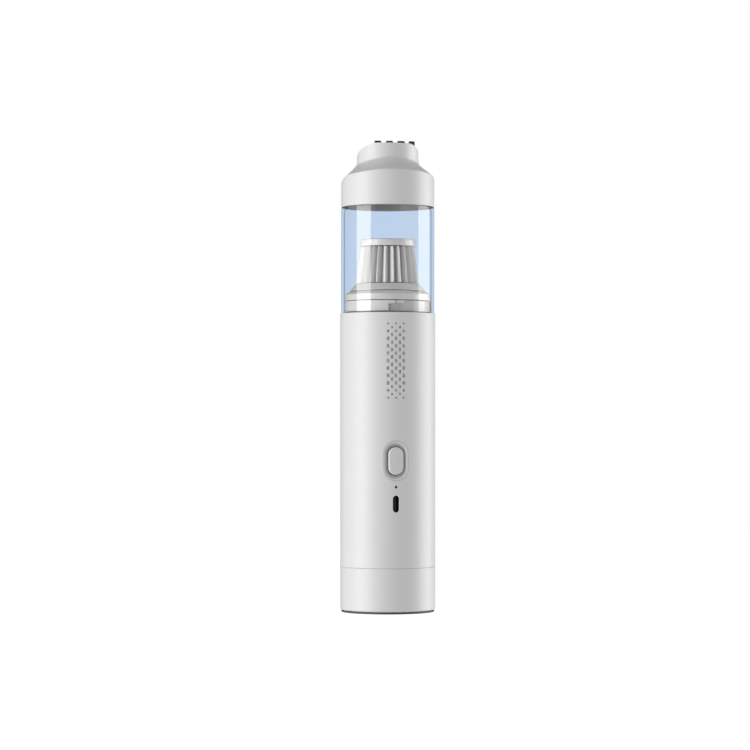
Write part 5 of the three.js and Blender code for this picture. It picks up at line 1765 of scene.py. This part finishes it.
    def inlet_valve(self) -> None:
        """The flap, its seat and its pin: the flap's barrel turns on the pin between the seat's two ears."""
        low, high = span("flap_pin")
        _, y, z = middle("flap_pin")
        wall = (self.seat_bore, self.bore - 0.3)
        seat = turned(rectangle(wall, (z + 0.9, heights("flap_seat")[1]), (0.5, 0.3, 0.3, 0.8)), 0, 5)
        lowest, highest = self.ear_heights
        sides = rounded(rectangle(self.ear_reach, (z + lowest, z + highest), (0.4, 1.3, 1.3, 0.4)), 0, 6)
        for start in (self.ear_from, -self.ear_from - self.ear_thick):
            ear = pierced_plate(with_spacing(sides, 0.8), [circle(self.pin_hole, 32, y, z)], start,
                                start + self.ear_thick, 0.15, 1.2)
            seat.join(ear, placed(order=ALONG_X))
        self.put(seat, "flap_seat", WHITE, sharp=50)
        half, front, thick = self.arm_half, self.ear_front, self.flap_thick
        reach = math.degrees(math.acos(-front / self.flap_radius))
        disc = on_arc(self.flap_radius, np.linspace(-reach, reach, 81))
        root = y - 1.45
        arm = np.array([[half, front], [half, root], [-half, root], [-half, front]])
        outline = with_spacing(np.concatenate([disc, arm]), 1.0)
        flap = pierced_plate(outline, [], z - thick, z + thick, 0.25, 1.6)
        roll = rectangle((self.pin_hole, self.barrel), (-half, half), (0.15, 0.3, 0.3, 0.15))
        barrel = turned(roll, 0, 4, 48)
        flap.join(barrel, placed(0, y, z, ALONG_X))
        self.put(flap, "inlet_flap", DARK_RUBBER, sharp=50)
        pin = rod(self.pin, high[0] - low[0], (0.2, 0.2), 32)
        self.put(pin, "flap_pin", STEEL, moved=placed(low[0], y, z, ALONG_X))


# Studio

@dataclass
class Studio:
    """The camera, two tall soft lamps, the surroundings and the floor."""

    distance: float = 1.42
    azimuth: float = -10.1
    camera_height: float = 0.098
    lens: float = 129.6
    shift: tuple[float, float] = (-0.017, 0.0667)
    lamp_distance: float = 0.8
    lamp_heights: tuple[float, float] = (-0.7, 0.95)
    left: tuple[float, float, float] = (-92.1, -52.1, 3.06)
    right: tuple[float, float, float] = (70.5, 114.5, 2.78)
    around: float = 0.66
    behind: float = 0.2
    above: float = 0.04
    below: float = 0.1
    to_behind: tuple[float, float] = (0.0, 0.9)
    to_above: tuple[float, float] = (0.25, 0.8)
    to_below: tuple[float, float] = (0.45, 0.8)
    paper_grey: float = 0.12
    reach: float = 4
    through_cup: tuple[float, float, float] = (0.570, 0.714, 0.920)

    def build(self) -> None:
        """Sets up everything round the object."""
        self.camera()
        self.lamp("left_lamp", *self.left)
        self.lamp("right_lamp", *self.right)
        world = bpy.data.worlds.new("surroundings")
        bpy.context.scene.world = world
        fill(world, "ShaderNodeOutputWorld", self.surroundings)
        self.floor()
        bpy.context.scene.view_settings.view_transform = "Standard"

    @staticmethod
    def facing(name: str, data: bpy.types.ID, distance: float, turn: float,
               height: float) -> bpy.types.Object:
        """Stands a camera or lamp level at a distance and an angle in radians, looking at the handle."""
        made = bpy.data.objects.new(name, data)
        made.location = (distance * math.sin(turn), -distance * math.cos(turn), height)
        made.rotation_euler = (math.pi / 2, 0, turn)
        bpy.context.scene.collection.objects.link(made)
        return made

    def camera(self) -> None:
        """A level camera at the photograph's angle."""
        data = bpy.data.cameras.new("camera")
        data.lens, data.sensor_width = self.lens, 36
        data.shift_x, data.shift_y = self.shift
        turn = math.radians(self.azimuth)
        bpy.context.scene.camera = self.facing("camera", data, self.distance, turn, self.camera_height)

    def lamp(self, name: str, start: float, end: float, radiance: float) -> None:
        """A tall soft box between two angles, whose power is radiance times pi times its area."""
        turn, spread = math.radians((start + end) / 2), math.radians(end - start)
        data = bpy.data.lights.new(name, "AREA")
        data.shape = "RECTANGLE"
        data.size = 2 * self.lamp_distance * math.tan(spread / 2)
        data.size_y = self.lamp_heights[1] - self.lamp_heights[0]
        data.energy = radiance * math.pi * data.size * data.size_y
        box = self.facing(name, data, self.lamp_distance, turn, sum(self.lamp_heights) / 2)
        box.visible_camera = False

    def surroundings(self, recipe: Recipe) -> Signal:
        """The world: white to the camera, pale blue through the cup, and grey light, brighter in front."""
        way = recipe.node("ShaderNodeTexCoord", output="Generated")
        up = recipe.axis(way, "Z")
        back = recipe.step(recipe.axis(way, "Y"), *self.to_behind)
        light = recipe.blend(back, grey(self.around), grey(self.behind))
        light = recipe.blend(recipe.step(up, *self.to_above), light, grey(self.above))
        light = recipe.blend(recipe.step(0 - up, *self.to_below), light, grey(self.below))
        seen = recipe.node("ShaderNodeLightPath", output="Is Camera Ray")
        colour = recipe.blend(seen, light, self.beyond(recipe))
        return recipe.node("ShaderNodeBackground", {}, {"Color": colour})

    def beyond(self, recipe: Recipe) -> Signal:
        """White, but the pale blue where a clear wall lies in between."""
        depth = recipe.node("ShaderNodeLightPath", output="Transparent Depth")
        return recipe.blend(depth > 0.5, grey(1), self.through_cup)

    def paper(self, recipe: Recipe) -> Signal:
        """The floor's surface: mostly its own light, so that it stays even and takes a faint shadow."""
        glow = recipe.node("ShaderNodeEmission", {}, {"Color": self.beyond(recipe)})
        matt = recipe.node("ShaderNodeBsdfDiffuse", {}, {"Color": (*grey(self.paper_grey), 1)})
        return recipe.node("ShaderNodeAddShader", {}, {0: glow, 1: matt})

    def floor(self) -> None:
        """A wide pale plane under the foot, which only the camera sees."""
        mesh, far = bpy.data.meshes.new("floor"), self.reach
        mesh.from_pydata([(-far, -far, 0), (far, -far, 0), (far, far, 0), (-far, far, 0)], [], [(0, 1, 2, 3)])
        plane = bpy.data.objects.new("floor", mesh)
        bpy.context.scene.collection.objects.link(plane)
        mesh.materials.append(bpy.data.materials.new("floor_paper"))
        fill(mesh.materials[0], "ShaderNodeOutputMaterial", self.paper)
        plane.visible_diffuse = plane.visible_glossy = plane.visible_shadow = False


def main() -> None:
    """Builds the studio and every sub-assembly in order, from the foot up."""
    logging.basicConfig(level=logging.INFO, format="%(message)s")
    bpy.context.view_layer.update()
    Studio().build()
    for assembly in (TailEnd(), Handle(), PowerKey(), ChargeBoard(), BatteryPack(), Motor(), Fan(),
                     CupMount(), FilterUnit(), DustCup(), NozzleCap()):
        log.info("-- %s", type(assembly).__name__)
        assembly.build()


if __name__ == "__main__":
    main()
